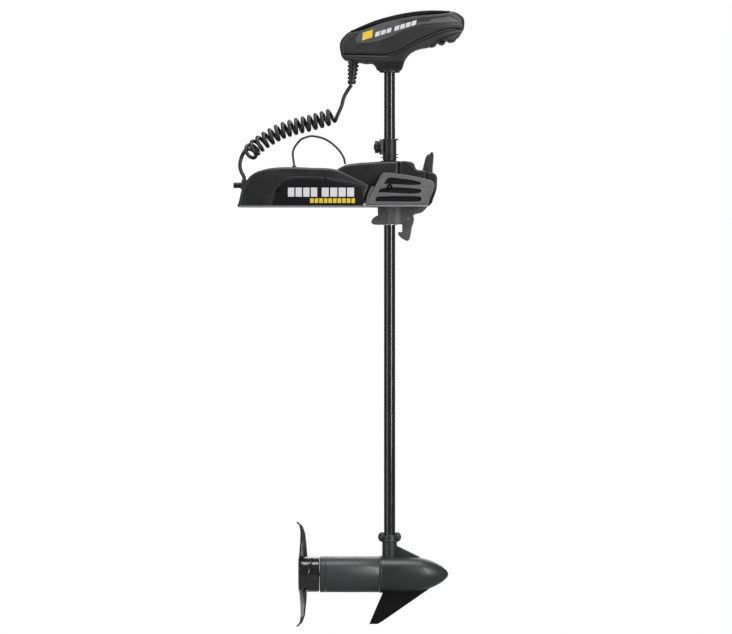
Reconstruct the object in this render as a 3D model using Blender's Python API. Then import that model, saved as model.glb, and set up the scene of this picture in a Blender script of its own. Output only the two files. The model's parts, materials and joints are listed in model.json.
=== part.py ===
"""Bow-mount electric-steer trolling motor, deployed. Metres, +Z up, nose towards +X.

The origin is the middle of the base plate's underside, where it rests on the deck.
"""
import math

import bmesh
import bpy
from mathutils import Matrix, Vector

for old in list(bpy.data.objects):
    bpy.data.objects.remove(old, do_unlink=True)

MM = 0.001
GAP = 0.3 * MM             # between pieces that touch
RUN = 0.1 * MM             # radial clearance of a part that turns or slides

# Driving dimensions, each written once.
BASE_REAR = -238 * MM
BASE_WALL = 3 * MM
PLATE_FRONT = 238 * MM
PLATE_THICK = 4 * MM
PANEL_THICK = 2.5 * MM
CARRIAGE_HALF_WIDTH = 50 * MM
SIDE_ROOM = 30 * MM         # from the carriage to the outside of the base
BASE_HALF_WIDTH = CARRIAGE_HALF_WIDTH + SIDE_ROOM
SLOT_SIDE_GAP = 3 * MM     # between the carriage and the base beside it
PIVOT_X = 31 * MM
PIVOT_Z = 42 * MM
PIVOT_R = 6 * MM
BRACKET_HALF_WIDTH = 35 * MM
SHAFT_X = 143 * MM
SHAFT_R = 14 * MM
SHAFT_WALL = 2.5 * MM
SHAFT_TOP = 372 * MM
TUBE_WALL = 3 * MM
COLLAR_R = SHAFT_R + 8 * MM
COLLAR_LOW = 116 * MM
COLLAR_TALL = 54 * MM
KNOB_R = 20 * MM
HEAD_HALF_WIDTH = 56 * MM
MOTOR_Z = -918 * MM
MOTOR_R = 45 * MM
MOTOR_WALL = 3 * MM
MOTOR_REAR = SHAFT_X - 175 * MM
CAP_LONG = 15 * MM
MOTOR_FRONT = SHAFT_X - 22 * MM
NOSE_LONG = 169 * MM
SKEG_DEEP = 125 * MM        # below the motor's axis
NECK_R = SHAFT_R + 4.5 * MM
NECK_TALL = 80 * MM         # above the motor's axis
NECK_TOP = MOTOR_Z + NECK_TALL
CLAMP_TALL = 26 * MM
CLAMP_R = SHAFT_R + 12 * MM
AXLE_R = 5 * MM
MAGNET_THICK = 8 * MM
AIR_GAP = 4 * MM           # between the armature and the magnets
PROP_R = 132 * MM
HUB_R = 44 * MM
HUB_LONG = 50 * MM
GEAR_MODULE = 2 * MM
RING_TEETH = 36
PINION_TEETH = 12
GEAR_Z = 72 * MM
GEAR_THICK = 8 * MM
CORD_R = 4.75 * MM
COIL_R = 22 * MM
ARCH_CABLE_R = 2.75 * MM

COLOURS = {
    "cover_black": ((0.018, 0.018, 0.019), 0.42, 0.0),
    "panel_black": ((0.010, 0.010, 0.011), 0.55, 0.0),
    "plate_grey": ((0.155, 0.155, 0.163), 0.45, 0.0),
    "bracket_grey": ((0.095, 0.095, 0.100), 0.50, 0.0),
    "head_grey": ((0.040, 0.041, 0.043), 0.50, 0.0),
    "gloss_black": ((0.008, 0.008, 0.009), 0.12, 0.0),
    "motor_paint": ((0.042, 0.048, 0.049), 0.35, 0.2),
    "aluminium": ((0.60, 0.60, 0.61), 0.32, 1.0),
    "steel": ((0.50, 0.50, 0.51), 0.30, 1.0),
    "rubber": ((0.015, 0.015, 0.015), 0.70, 0.0),
    "magnet": ((0.070, 0.070, 0.075), 0.60, 0.0),
    "board_green": ((0.020, 0.120, 0.050), 0.50, 0.0),
    "nylon": ((0.700, 0.690, 0.640), 0.45, 0.0),
}
MATERIALS = {}


def material(slot):
    if slot not in MATERIALS:
        colour, roughness, metallic = COLOURS[slot]
        made = bpy.data.materials.new(slot)
        made.use_nodes = True
        shader = made.node_tree.nodes["Principled BSDF"]
        shader.inputs["Base Color"].default_value = (*colour, 1.0)
        shader.inputs["Roughness"].default_value = roughness
        shader.inputs["Metallic"].default_value = metallic
        MATERIALS[slot] = made
    return MATERIALS[slot]


class Group:
    """The pieces that move together, under an empty on their joint's axis."""

    def __init__(self, name, point, parent=None):
        self.point = Vector(point)
        self.empty = bpy.data.objects.new(name, None)
        bpy.context.scene.collection.objects.link(self.empty)
        base = parent.point if parent else Vector()
        self.empty.parent = parent.empty if parent else None
        self.empty.location = self.point - base


BASE = Group("base", (0, 0, 0))
CARRIAGE = Group("carriage", (PIVOT_X, 0, PIVOT_Z), BASE)
STEER = Group("steer", (SHAFT_X, 0, 0), CARRIAGE)
LIFT = Group("lift", (SHAFT_X, 0, 0), STEER)
COLLAR = Group("collar", (SHAFT_X, 0, COLLAR_LOW), LIFT)
KNOB = Group("knob", (SHAFT_X, 0, 150 * MM), COLLAR)
PINION_X = SHAFT_X - GEAR_MODULE * (RING_TEETH + PINION_TEETH) / 2
PINION = Group("pinion_axis", (PINION_X, 0, 0), CARRIAGE)
LEVER_PIN_POINT = (232 * MM, 0, 84 * MM)
LEVER = Group("lever", LEVER_PIN_POINT, CARRIAGE)
HOOK_PIN_POINT = (190 * MM, 0, -30 * MM)
HOOK = Group("hook", HOOK_PIN_POINT, CARRIAGE)
PROP = Group("prop", (SHAFT_X, 0, MOTOR_Z), LIFT)


def add(name, bm, slot, group, smooth=35):
    """Turn a bmesh in world coordinates into a named object under a group's empty."""
    bmesh.ops.recalc_face_normals(bm, faces=bm.faces)
    bmesh.ops.translate(bm, verts=bm.verts, vec=-group.point)
    mesh = bpy.data.meshes.new(name)
    bm.to_mesh(mesh)
    bm.free()
    mesh.materials.append(material(slot))
    mesh.shade_smooth()
    mesh.set_sharp_from_angle(angle=math.radians(smooth))
    made = bpy.data.objects.new(name, mesh)
    bpy.context.scene.collection.objects.link(made)
    made.parent = group.empty
    return made


def combine(target, tool, operation):
    """Boolean another object into this one and keep the tool out of the build."""
    tool.hide_render = True
    tool.display_type = "WIRE"
    step = target.modifiers.new(tool.name, "BOOLEAN")
    step.operation = operation
    step.object = tool
    step.solver = "EXACT"


def cut(target, name, bm, group):
    combine(target, add(name, bm, "panel_black", group), "DIFFERENCE")


def join(target, name, bm, group):
    combine(target, add(name, bm, "panel_black", group), "UNION")


def soften(target, width, segments=2, angle=40):
    step = target.modifiers.new("soften", "BEVEL")
    step.width = width
    step.segments = segments
    step.limit_method = "ANGLE"
    step.angle_limit = math.radians(angle)


def slab(outline, y_low, y_high):
    """An outline of (x, z) in millimetres, extruded from y_low to y_high."""
    bm = bmesh.new()
    verts = [bm.verts.new((x * MM, y_low, z * MM)) for x, z in outline]
    face = bm.faces.new(verts)
    grown = bmesh.ops.extrude_face_region(bm, geom=[face])
    moved = [g for g in grown["geom"] if isinstance(g, bmesh.types.BMVert)]
    bmesh.ops.translate(bm, verts=moved, vec=(0, y_high - y_low, 0))
    return bm


def block(low, high):
    bm = bmesh.new()
    size = Vector(high) - Vector(low)
    middle = (Vector(high) + Vector(low)) / 2
    turn = Matrix.Translation(middle) @ Matrix.Diagonal((*size, 1))
    bmesh.ops.create_cube(bm, size=1, matrix=turn)
    return bm


def arc(x, z, radius, start, end, steps):
    """Points of an arc in millimetres, with its angles in degrees."""
    angles = [math.radians(start + (end - start) * i / steps) for i in range(steps + 1)]
    return [(x + radius * math.cos(a), z + radius * math.sin(a)) for a in angles]


def turned(profile, axis="Z", centre=(0, 0, 0), steps=32, closed=False, sweep=360):
    """Turn (radius, height) points about an axis; a closed profile makes a ring."""
    bm = bmesh.new()
    rings = []
    full = sweep == 360
    count = steps if full else steps + 1
    for radius, height in profile:
        if radius < 1e-9:
            spot = {"Z": (0, 0, height), "X": (height, 0, 0), "Y": (0, height, 0)}[axis]
            rings.append([bm.verts.new(Vector(spot) + Vector(centre))])
            continue
        ring = []
        for i in range(count):
            a = math.radians(-sweep / 2 + sweep * i / steps)
            u = radius * math.cos(a)
            v = radius * math.sin(a)
            spot = {"Z": (u, v, height), "X": (height, v, u), "Y": (v, height, u)}[axis]
            ring.append(bm.verts.new(Vector(spot) + Vector(centre)))
        rings.append(ring)
    pairs = list(zip(rings, rings[1:] + rings[:1])) if closed else list(zip(rings, rings[1:]))
    for low, high in pairs:
        for i in range(count if full else steps):
            k = (i + 1) % count
            if len(low) == 1 and len(high) == 1:
                continue
            if len(low) == 1:
                bm.faces.new((low[0], high[i], high[k]))
            elif len(high) == 1:
                bm.faces.new((low[i], high[0], low[k]))
            else:
                bm.faces.new((low[i], high[i], high[k], low[k]))
    if not closed:
        for ring in (rings[0], rings[-1]):
            if len(ring) > 1:
                bm.faces.new(ring)
    if not full:
        bm.faces.new([ring[0] for ring in rings])
        bm.faces.new([ring[-1] for ring in rings])
    return bm


def rod(radius, low, high, axis, centre, steps=24):
    return turned([(radius, low), (radius, high)], axis, centre, steps)


def ring(inner, outer, low, high, axis, centre, steps=32, sweep=360):
    points = [(inner, low), (outer, low), (outer, high), (inner, high)]
    return turned(points, axis, centre, steps, True, sweep)


def tube_along(name, points, radius, spacing, resolution, group):
    """A round cord along a smooth curve through hand-chosen points in metres."""
    curve = bpy.data.curves.new(name, "CURVE")
    curve.dimensions = "3D"
    curve.bevel_depth = radius
    curve.bevel_resolution = resolution
    curve.use_fill_caps = True
    spots = smooth_route(points, spacing)
    line = curve.splines.new("POLY")
    line.points.add(len(spots) - 1)
    for point, spot in zip(line.points, spots):
        point.co = (*(spot - group.point), 1)
    curve.materials.append(material("rubber"))
    made = bpy.data.objects.new(name, curve)
    bpy.context.scene.collection.objects.link(made)
    made.parent = group.empty
    return made


def smooth_route(points, spacing):
    """Catmull-Rom curve through the points, read at about an even spacing."""
    route = [Vector(p) for p in points]
    ends = [2 * route[0] - route[1]] + route + [2 * route[-1] - route[-2]]
    fine = []
    for a, b, c, d in zip(ends, ends[1:], ends[2:], ends[3:]):
        for i in range(20):
            t = i / 20
            fine.append(0.5 * ((2 * b) + (c - a) * t + (2 * a - 5 * b + 4 * c - d) * t * t
                               + (3 * b - a - 3 * c + d) * t ** 3))
    fine.append(route[-1])
    lengths = [0.0]
    for p, q in zip(fine, fine[1:]):
        lengths.append(lengths[-1] + (q - p).length)
    count = max(2, round(lengths[-1] / spacing))
    spots = []
    for i in range(count + 1):
        target = lengths[-1] * i / count
        k = max(j for j in range(len(fine)) if lengths[j] <= target + 1e-9)
        k = min(k, len(fine) - 2)
        share = (target - lengths[k]) / (lengths[k + 1] - lengths[k])
        spots.append(fine[k].lerp(fine[k + 1], share))
    return spots


SLOT_HALF = CARRIAGE_HALF_WIDTH + SLOT_SIDE_GAP
PIVOT_POINT = (PIVOT_X, 0, PIVOT_Z)
REAR_MM = BASE_REAR / MM
PLATE_TOP = PLATE_THICK + GAP
COVER_FRONT = 93 * MM
COVER_TOP = [(REAR_MM, 0.5), (REAR_MM + 4, 13), (REAR_MM + 12, 44), (REAR_MM + 24, 67),
             (REAR_MM + 41, 83), (REAR_MM + 67, 92), (REAR_MM + 88, 97), (-99, 98),
             (-54, 96.5), (9, 92), (50, 75), (COVER_FRONT / MM, 53),
             (COVER_FRONT / MM - 12, 20), (COVER_FRONT / MM - 14, 0.5)]
PANEL_EDGE = [(-152, 6), (-140, 34), (-129, 52), (-119, 62), (-99, 67), (-29, 66),
              (20, 58), (70, 47), (74, 6)]
PLATE_EDGE = [(105, 46), (116, 68), (124, 82), (135, 84), (164, 81), (198, 76), (249, 63),
              (254, 57), (254, 46), (244, 21), (240, 4.5), (88, 4.5), (91, 20)]
SIDES = (("right", -1), ("left", 1))


def either_side(side, inner, outer):
    """The low and high y of a layer on the right (-1) or left (+1) side."""
    return (-outer, -inner) if side < 0 else (inner, outer)


def make_base_plate():
    inside = BASE_HALF_WIDTH - BASE_WALL - 1 * MM
    edge = BASE_HALF_WIDTH - 0.5 * MM
    step_x = COVER_FRONT + 2 * MM
    bm = bmesh.new()
    outline = [(BASE_REAR + BASE_WALL + 4 * MM, -inside), (step_x, -inside), (step_x, -edge),
               (PLATE_FRONT, -edge), (PLATE_FRONT, edge), (step_x, edge), (step_x, inside),
               (BASE_REAR + BASE_WALL + 4 * MM, inside)]
    face = bm.faces.new([bm.verts.new((x, y, 0)) for x, y in outline])
    grown = bmesh.ops.extrude_face_region(bm, geom=[face])
    moved = [g for g in grown["geom"] if isinstance(g, bmesh.types.BMVert)]
    bmesh.ops.translate(bm, verts=moved, vec=(0, 0, PLATE_THICK))
    plate = add("base_plate", bm, "aluminium", BASE)
    low = (SHAFT_X - NECK_R - 28 * MM, -SLOT_HALF, -PLATE_THICK)
    high = (PLATE_FRONT + 20 * MM, SLOT_HALF, 2 * PLATE_THICK)
    cut(plate, "cutter_plate_slot", block(low, high), BASE)


def make_base_cover():
    cover = add("base_cover", slab(COVER_TOP, -BASE_HALF_WIDTH, BASE_HALF_WIDTH),
                "cover_black", BASE)
    soften(cover, 7 * MM, 3, 60)
    wall = BASE_WALL / MM
    hollow = [(REAR_MM + wall, -5), (REAR_MM + wall + 4, 13), (REAR_MM + wall + 12, 42),
              (REAR_MM + wall + 24, 65), (REAR_MM + wall + 41, 79), (REAR_MM + wall + 67, 88),
              (-99, 94), (-54, 92.5), (9, 88), (50, 71), (COVER_FRONT / MM + 20, 36),
              (COVER_FRONT / MM + 20, -5)]
    inside = BASE_HALF_WIDTH - BASE_WALL
    cut(cover, "cutter_cover_hollow", slab(hollow, -inside, inside), BASE)
    low = (PIVOT_X - 79 * MM, -SLOT_HALF, 5 * MM)
    high = (COVER_FRONT + 30 * MM, SLOT_HALF, 120 * MM)
    cut(cover, "cutter_cover_slot", block(low, high), BASE)
    for name, side in SIDES:
        low_y, high_y = either_side(side, inside + 0.8 * MM, BASE_HALF_WIDTH + 5 * MM)
        cut(cover, "cutter_recess_" + name, slab(grown_edge(PANEL_EDGE, 1.2), low_y, high_y), BASE)
    return cover


def grown_edge(edge, amount):
    """An outline moved outwards from its middle by an amount in millimetres."""
    middle_x = sum(x for x, z in edge) / len(edge)
    middle_z = sum(z for x, z in edge) / len(edge)
    moved = []
    for x, z in edge:
        away = Vector((x - middle_x, z - middle_z)).normalized()
        moved.append((x + away.x * amount, z + away.y * amount))
    return moved


def make_side_pieces(name, side):
    inside = BASE_HALF_WIDTH - BASE_WALL
    layer = either_side(side, inside + 0.8 * MM + GAP, BASE_HALF_WIDTH + 0.7 * MM)
    add("side_panel_" + name, slab(PANEL_EDGE, *layer), "panel_black", BASE)
    frame_edge = [(84, 4.5), (244, 4.3), (250, 21), (256, 46), (256, 60), (248, 66),
                  (198, 78), (164, 83), (126, 84), (108, 60), (86, 20)]
    inner = SLOT_HALF + 1 * MM
    frame_y = either_side(side, inner, BASE_HALF_WIDTH - 2 * PANEL_THICK)
    frame = add("side_frame_" + name, slab(frame_edge, *frame_y), "panel_black", BASE)
    outer = BASE_HALF_WIDTH - 2 * PANEL_THICK + GAP
    plate_y = either_side(side, outer, BASE_HALF_WIDTH)
    plate = add("side_plate_" + name, slab(PLATE_EDGE, *plate_y), "plate_grey", BASE)
    slot_y = either_side(side, outer - 5 * MM, BASE_HALF_WIDTH + 5 * MM)
    slots = {
        "top": [(128, 55), (139, 71), (164, 70), (195, 66), (216, 61), (222, 58), (218, 54)],
        "middle": [(116, 34), (117, 43), (221, 43), (218, 34)],
        "bottom": [(108, 12), (110, 24), (221, 24), (216, 12)],
    }
    for slot, outline in slots.items():
        cut(plate, f"cutter_{slot}_slot_{name}", slab(outline, *slot_y), BASE)
    bolt_point = (142.5 * MM, 0, 48.5 * MM)
    bolt_hole = rod(4 * MM, *slot_y, "Y", bolt_point)
    cut(plate, "cutter_bolt_hole_" + name, bolt_hole, BASE)
    stem = side * (outer + 0.5 * MM)
    under = side * (BASE_HALF_WIDTH + GAP)
    top = side * (BASE_HALF_WIDTH + 3 * MM)
    profile = [(0, stem), (3.5 * MM, stem), (3.5 * MM, under), (5.4 * MM, under),
               (5.4 * MM, top), (3 * MM, top), (2.4 * MM, top - side * 1.5 * MM),
               (0, top - side * 1.5 * MM)]
    add("plate_bolt_" + name, turned(profile, "Y", bolt_point, 16), "steel", BASE)
    bezel_edge = [(82, 4.5), (87.4, 4.5), (90.4, 20), (104, 46.5), (101, 48), (96, 47), (85, 20)]
    bezel_y = either_side(side, BASE_HALF_WIDTH - 8 * MM, BASE_HALF_WIDTH + 1 * MM)
    join(frame, "joined_bezel_" + name, slab(bezel_edge, *bezel_y), BASE)


def make_base_fittings(cover):
    half = SLOT_HALF + 12 * MM
    for name, side in SIDES:
        low_y, high_y = either_side(side, SLOT_HALF, half)
        foot = [(10, 4.3), (14, 50), (20, 58), (42, 58), (48, 50), (60, 4.3)]
        cheek = add("pivot_cheek_" + name, slab(foot, low_y, high_y), "aluminium", BASE)
        bore = rod(PIVOT_R + RUN, low_y - 5 * MM, high_y + 5 * MM, "Y", PIVOT_POINT)
        cut(cheek, "cutter_cheek_bore_" + name, bore, BASE)
    end = half + 4 * MM
    head = half + GAP
    pin = [(0, -end), (9 * MM, -end), (9 * MM, -head), (PIVOT_R, -head),
           (PIVOT_R, head + 4 * MM), (0, head + 4 * MM)]
    add("pivot_pin", turned(pin, "Y", PIVOT_POINT, 24), "steel", BASE)
    low = (-150 * MM, -45 * MM, PLATE_TOP)
    high = (-70 * MM, 45 * MM, PLATE_TOP + 14 * MM)
    add("control_box", block(low, high), "panel_black", BASE)
    gland_point = (CORD_GLAND[0], CORD_GLAND[1], 0)
    gland = turned([(CORD_R + 0.6 * MM, 40 * MM), (CORD_R + 4 * MM, 40 * MM),
                    (CORD_R + 4 * MM, 64 * MM), (CORD_R + 2 * MM, CORD_GLAND[2]),
                    (CORD_R + 0.6 * MM, CORD_GLAND[2])], "Z", gland_point, 24, True)
    add("cord_gland", gland, "rubber", BASE)
    hole = rod(CORD_R + 4.4 * MM, 30 * MM, 140 * MM, "Z", gland_point)
    cut(cover, "cutter_cord_gland", hole, BASE)
    grommet_point = (ARCH_START[0], ARCH_START[1], 0)
    grommet = turned([(ARCH_CABLE_R + 0.4 * MM, 88 * MM), (6 * MM, 88 * MM), (6 * MM, 99 * MM),
                      (4.5 * MM, ARCH_START[2]), (ARCH_CABLE_R + 0.4 * MM, ARCH_START[2])],
                     "Z", grommet_point, 24, True)
    add("cable_grommet", grommet, "rubber", BASE)
    hole = rod(6.4 * MM, 60 * MM, 130 * MM, "Z", grommet_point)
    cut(cover, "cutter_cable_grommet", hole, BASE)
    power_point = (BASE_REAR + 14 * MM, 30 * MM, 55 * MM)
    gland = ring(4 * MM, 7 * MM, -24 * MM, 12 * MM, "X", power_point, 24)
    add("power_lead_gland", gland, "rubber", BASE)
    hole = rod(7.4 * MM, -60 * MM, 40 * MM, "X", power_point)
    cut(cover, "cutter_power_lead", hole, BASE)


CORD_GLAND = (BASE_REAR + 17 * MM, 0, 74 * MM)
ARCH_START = (-95 * MM, -36 * MM, 103 * MM)
make_base_plate()
BASE_COVER = make_base_cover()
for side_name, side_sign in SIDES:
    make_side_pieces(side_name, side_sign)
make_base_fittings(BASE_COVER)


HOUSING_LOW = 8 * MM
HOUSING_EDGE = ([(11, 92), (35, 105), (94, 111), (128, 113), (170, 113), (198, 111), (205, 105),
                 (208, 93), (224, 91), (236, 88), (236, HOUSING_LOW / MM)]
                + arc(PIVOT_X / MM, PIVOT_Z / MM, 34, -88, -188, 6))
TUBE_R = SHAFT_R + RUN + TUBE_WALL
BUSH_R = TUBE_R + 3 * MM
RING_R = GEAR_MODULE * RING_TEETH / 2
BRACKET_EDGE = [(112, 7.4), (114, -21), (103, -27), (97, -36), (100, -42), (114, -45),
                (172, -42), (182, -41), (207, -18), (224, -13), (238, 2), (240, 7.4)]
BRACKET_LOW = -45 * MM


def gear(teeth, low, high, phase, centre_x, bore):
    """An involute spur gear with stub teeth, standing on the shaft's side."""
    pitch = GEAR_MODULE * teeth / 2
    outer = pitch + 0.75 * GEAR_MODULE
    root = pitch - 1.05 * GEAR_MODULE
    base = pitch * math.cos(math.radians(20))
    play = 0.25 * MM

    def half_angle(radius):
        roll = math.acos(min(1, base / max(radius, base)))
        roll_pitch = math.radians(20)
        spread = math.tan(roll_pitch) - roll_pitch - (math.tan(roll) - roll)
        return (math.pi * GEAR_MODULE / 4 - play) / pitch + spread

    flank = [root, pitch, outer]
    outline = []
    for tooth in range(teeth):
        middle = math.radians(phase) + 2 * math.pi * tooth / teeth
        for radius in flank:
            outline.append((radius, middle - half_angle(radius)))
        for radius in reversed(flank):
            outline.append((radius, middle + half_angle(radius)))
    bm = bmesh.new()
    spots = [(centre_x + r * math.cos(a), r * math.sin(a), low) for r, a in outline]
    face = bm.faces.new([bm.verts.new(spot) for spot in spots])
    grown = bmesh.ops.extrude_face_region(bm, geom=[face])
    moved = [g for g in grown["geom"] if isinstance(g, bmesh.types.BMVert)]
    bmesh.ops.translate(bm, verts=moved, vec=(0, 0, high - low))
    return bm, rod(bore, low - 5 * MM, high + 5 * MM, "Z", (centre_x, 0, 0), 32)


def make_housing():
    shaft_point = (SHAFT_X, 0, 0)
    half = CARRIAGE_HALF_WIDTH
    housing = add("drive_housing", slab(HOUSING_EDGE, -half, half), "cover_black", CARRIAGE)
    soften(housing, 9 * MM, 3, 75)
    wall = 4 * MM
    low = (PINION_X - 27 * MM, wall - half, HOUSING_LOW - 20 * MM)
    high = (SHAFT_X + RING_R + 10 * MM, half - wall, 88 * MM)
    cut(housing, "cutter_drive_room", block(low, high), CARRIAGE)
    cut(housing, "cutter_upper_bore", rod(BUSH_R + GAP, 60 * MM, 140 * MM, "Z", shaft_point),
        CARRIAGE)
    cut(housing, "cutter_pivot_bore",
        rod(PIVOT_R + RUN, -half - 9 * MM, half + 9 * MM, "Y", PIVOT_POINT), CARRIAGE)
    cut(housing, "cutter_lever_room",
        block((218 * MM, -9 * MM, 70 * MM), (250 * MM, 9 * MM, 140 * MM)), CARRIAGE)
    return housing


def make_carriage_fittings():
    shaft_point = (SHAFT_X, 0, 0)
    half = CARRIAGE_HALF_WIDTH
    cover_edge = [(236.4, 86), (250, 85.5), (259, 80), (261, 74), (261, 44), (253, 23),
                  (248, 8.3), (236.4, 8.3)]
    front = add("drive_front_cover", slab(cover_edge, -half, half), "cover_black", CARRIAGE)
    soften(front, 3 * MM, 2, 70)
    cut(front, "cutter_front_lever_room",
        block((230 * MM, -9 * MM, 68 * MM), (256 * MM, 9 * MM, 140 * MM)), CARRIAGE)
    bracket = add("lower_bracket", slab(BRACKET_EDGE, -BRACKET_HALF_WIDTH, BRACKET_HALF_WIDTH),
                  "bracket_grey", CARRIAGE)
    soften(bracket, 4 * MM, 2, 70)
    cut(bracket, "cutter_lower_bore", rod(BUSH_R + GAP, -90 * MM, 60 * MM, "Z", shaft_point),
        CARRIAGE)
    cut(bracket, "cutter_hook_room",
        block((168 * MM, -9 * MM, -60 * MM), (212 * MM, 9 * MM, -12 * MM)), CARRIAGE)
    cut(bracket, "cutter_hook_pin", rod(3 * MM, -30 * MM, 30 * MM, "Y", HOOK_PIN_POINT, 16),
        CARRIAGE)
    bush = ring(TUBE_R + RUN, BUSH_R, BRACKET_LOW + 1 * MM, BRACKET_LOW + 30 * MM, "Z", shaft_point)
    add("lower_bushing", bush, "nylon", CARRIAGE)
    bush = ring(TUBE_R + RUN, BUSH_R, 84 * MM, 112 * MM, "Z", shaft_point)
    add("upper_bushing", bush, "nylon", CARRIAGE)
    motor = turned([(0, 20 * MM), (20 * MM, 20 * MM), (20 * MM, 62 * MM), (2.4 * MM, 62 * MM),
                    (2.4 * MM, GEAR_Z + GEAR_THICK), (0, GEAR_Z + GEAR_THICK)], "Z", (PINION_X, 0, 0), 28)
    add("steering_motor", motor, "steel", CARRIAGE)
    bolt = rod(2.9 * MM, -24 * MM, 24 * MM, "Y", HOOK_PIN_POINT, 16)
    add("hook_pin", bolt, "steel", CARRIAGE)
    lever_pin = rod(2.9 * MM, -8.7 * MM, 8.7 * MM, "Y", LEVER_PIN_POINT, 16)
    add("lever_pin", lever_pin, "steel", CARRIAGE)


def make_lever_and_hook():
    lever_edge = [(224, 80), (226, 95), (234, 125), (238, 130), (244, 131.5), (247, 137),
                  (252, 136), (250, 100), (248, 80), (238, 76), (228, 76)]
    lever = add("release_lever", slab(lever_edge, -7 * MM, 7 * MM), "head_grey", LEVER)
    soften(lever, 1.2 * MM, 1, 50)
    cut(lever, "cutter_lever_bore", rod(3 * MM, -20 * MM, 20 * MM, "Y", LEVER_PIN_POINT, 16),
        LEVER)
    hook_edge = [(174, -44), (174, -62), (164, -63), (165, -70), (183, -84), (188, -85),
                 (193, -81), (199, -50), (203, -30), (198, -20), (184, -20)]
    hook = add("latch_hook", slab(hook_edge, -7 * MM, 7 * MM), "bracket_grey", HOOK)
    soften(hook, 1.2 * MM, 1, 50)
    cut(hook, "cutter_hook_bore", rod(3 * MM, -20 * MM, 20 * MM, "Y", HOOK_PIN_POINT, 16), HOOK)


def make_steering():
    shaft_point = (SHAFT_X, 0, 0)
    tube = ring(SHAFT_R + RUN, TUBE_R, BRACKET_LOW, 114 * MM, "Z", shaft_point)
    add("steering_tube", tube, "aluminium", STEER)
    bm, bore = gear(RING_TEETH, GEAR_Z, GEAR_Z + GEAR_THICK, 0, SHAFT_X, TUBE_R + GAP)
    ring_gear = add("ring_gear", bm, "nylon", STEER, 20)
    cut(ring_gear, "cutter_ring_bore", bore, STEER)
    half_tooth = 180 / PINION_TEETH
    bm, bore = gear(PINION_TEETH, GEAR_Z, GEAR_Z + GEAR_THICK, half_tooth, PINION_X, 2.5 * MM)
    pinion = add("pinion", bm, "steel", PINION, 20)
    cut(pinion, "cutter_pinion_bore", bore, PINION)


make_housing()
make_carriage_fittings()
make_lever_and_hook()
make_steering()


NEAR = SHAFT_X / MM
HEAD_LIP = [(14, 378.5), (42, 395.5), (80, 415.5), (131, 435.5), (165, 441.5), (184, 441.5)]
HEAD_BACK = [(-124.5, 398), (-123, 411), (-111, 428), (-80.5, 445)]
HEAD_CROWN = [(-35, 464), (24, 480), (55, 485), (93, 489), (128, 488.5)]
HEAD_FRONT = [(164, 486), (175, 479), (184, 471), (187, 455), (185, 442)]
STRIP_DEEP = 9
HEAD_BELLY = [(-121.5, 378), (-112, 369), (-105, 366), (-73, 361), (-58, 358), (-40, 358),
              (-30, 346), (-21, 336), (14, 336), (30, 341), (37, 364), (40, 372), (55, 387)]
GRIP_EDGE = [(55.4, 387.4), (75, 396), (109, 401), (121, 411), (131, 408), (142, 416),
             (155, 415), (164, 418), (179, 431), (184, 441)]
GRIP_BACK = 55.4
LEAD_START = (48 * MM, 0, 306 * MM)


def beside_shaft(outline):
    """Shift an outline of millimetres from the shaft's axis to the object's origin."""
    return [(x + NEAR, z) for x, z in outline]


def lip_below(amount):
    return [(x, z - amount) for x, z in HEAD_LIP]


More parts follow.
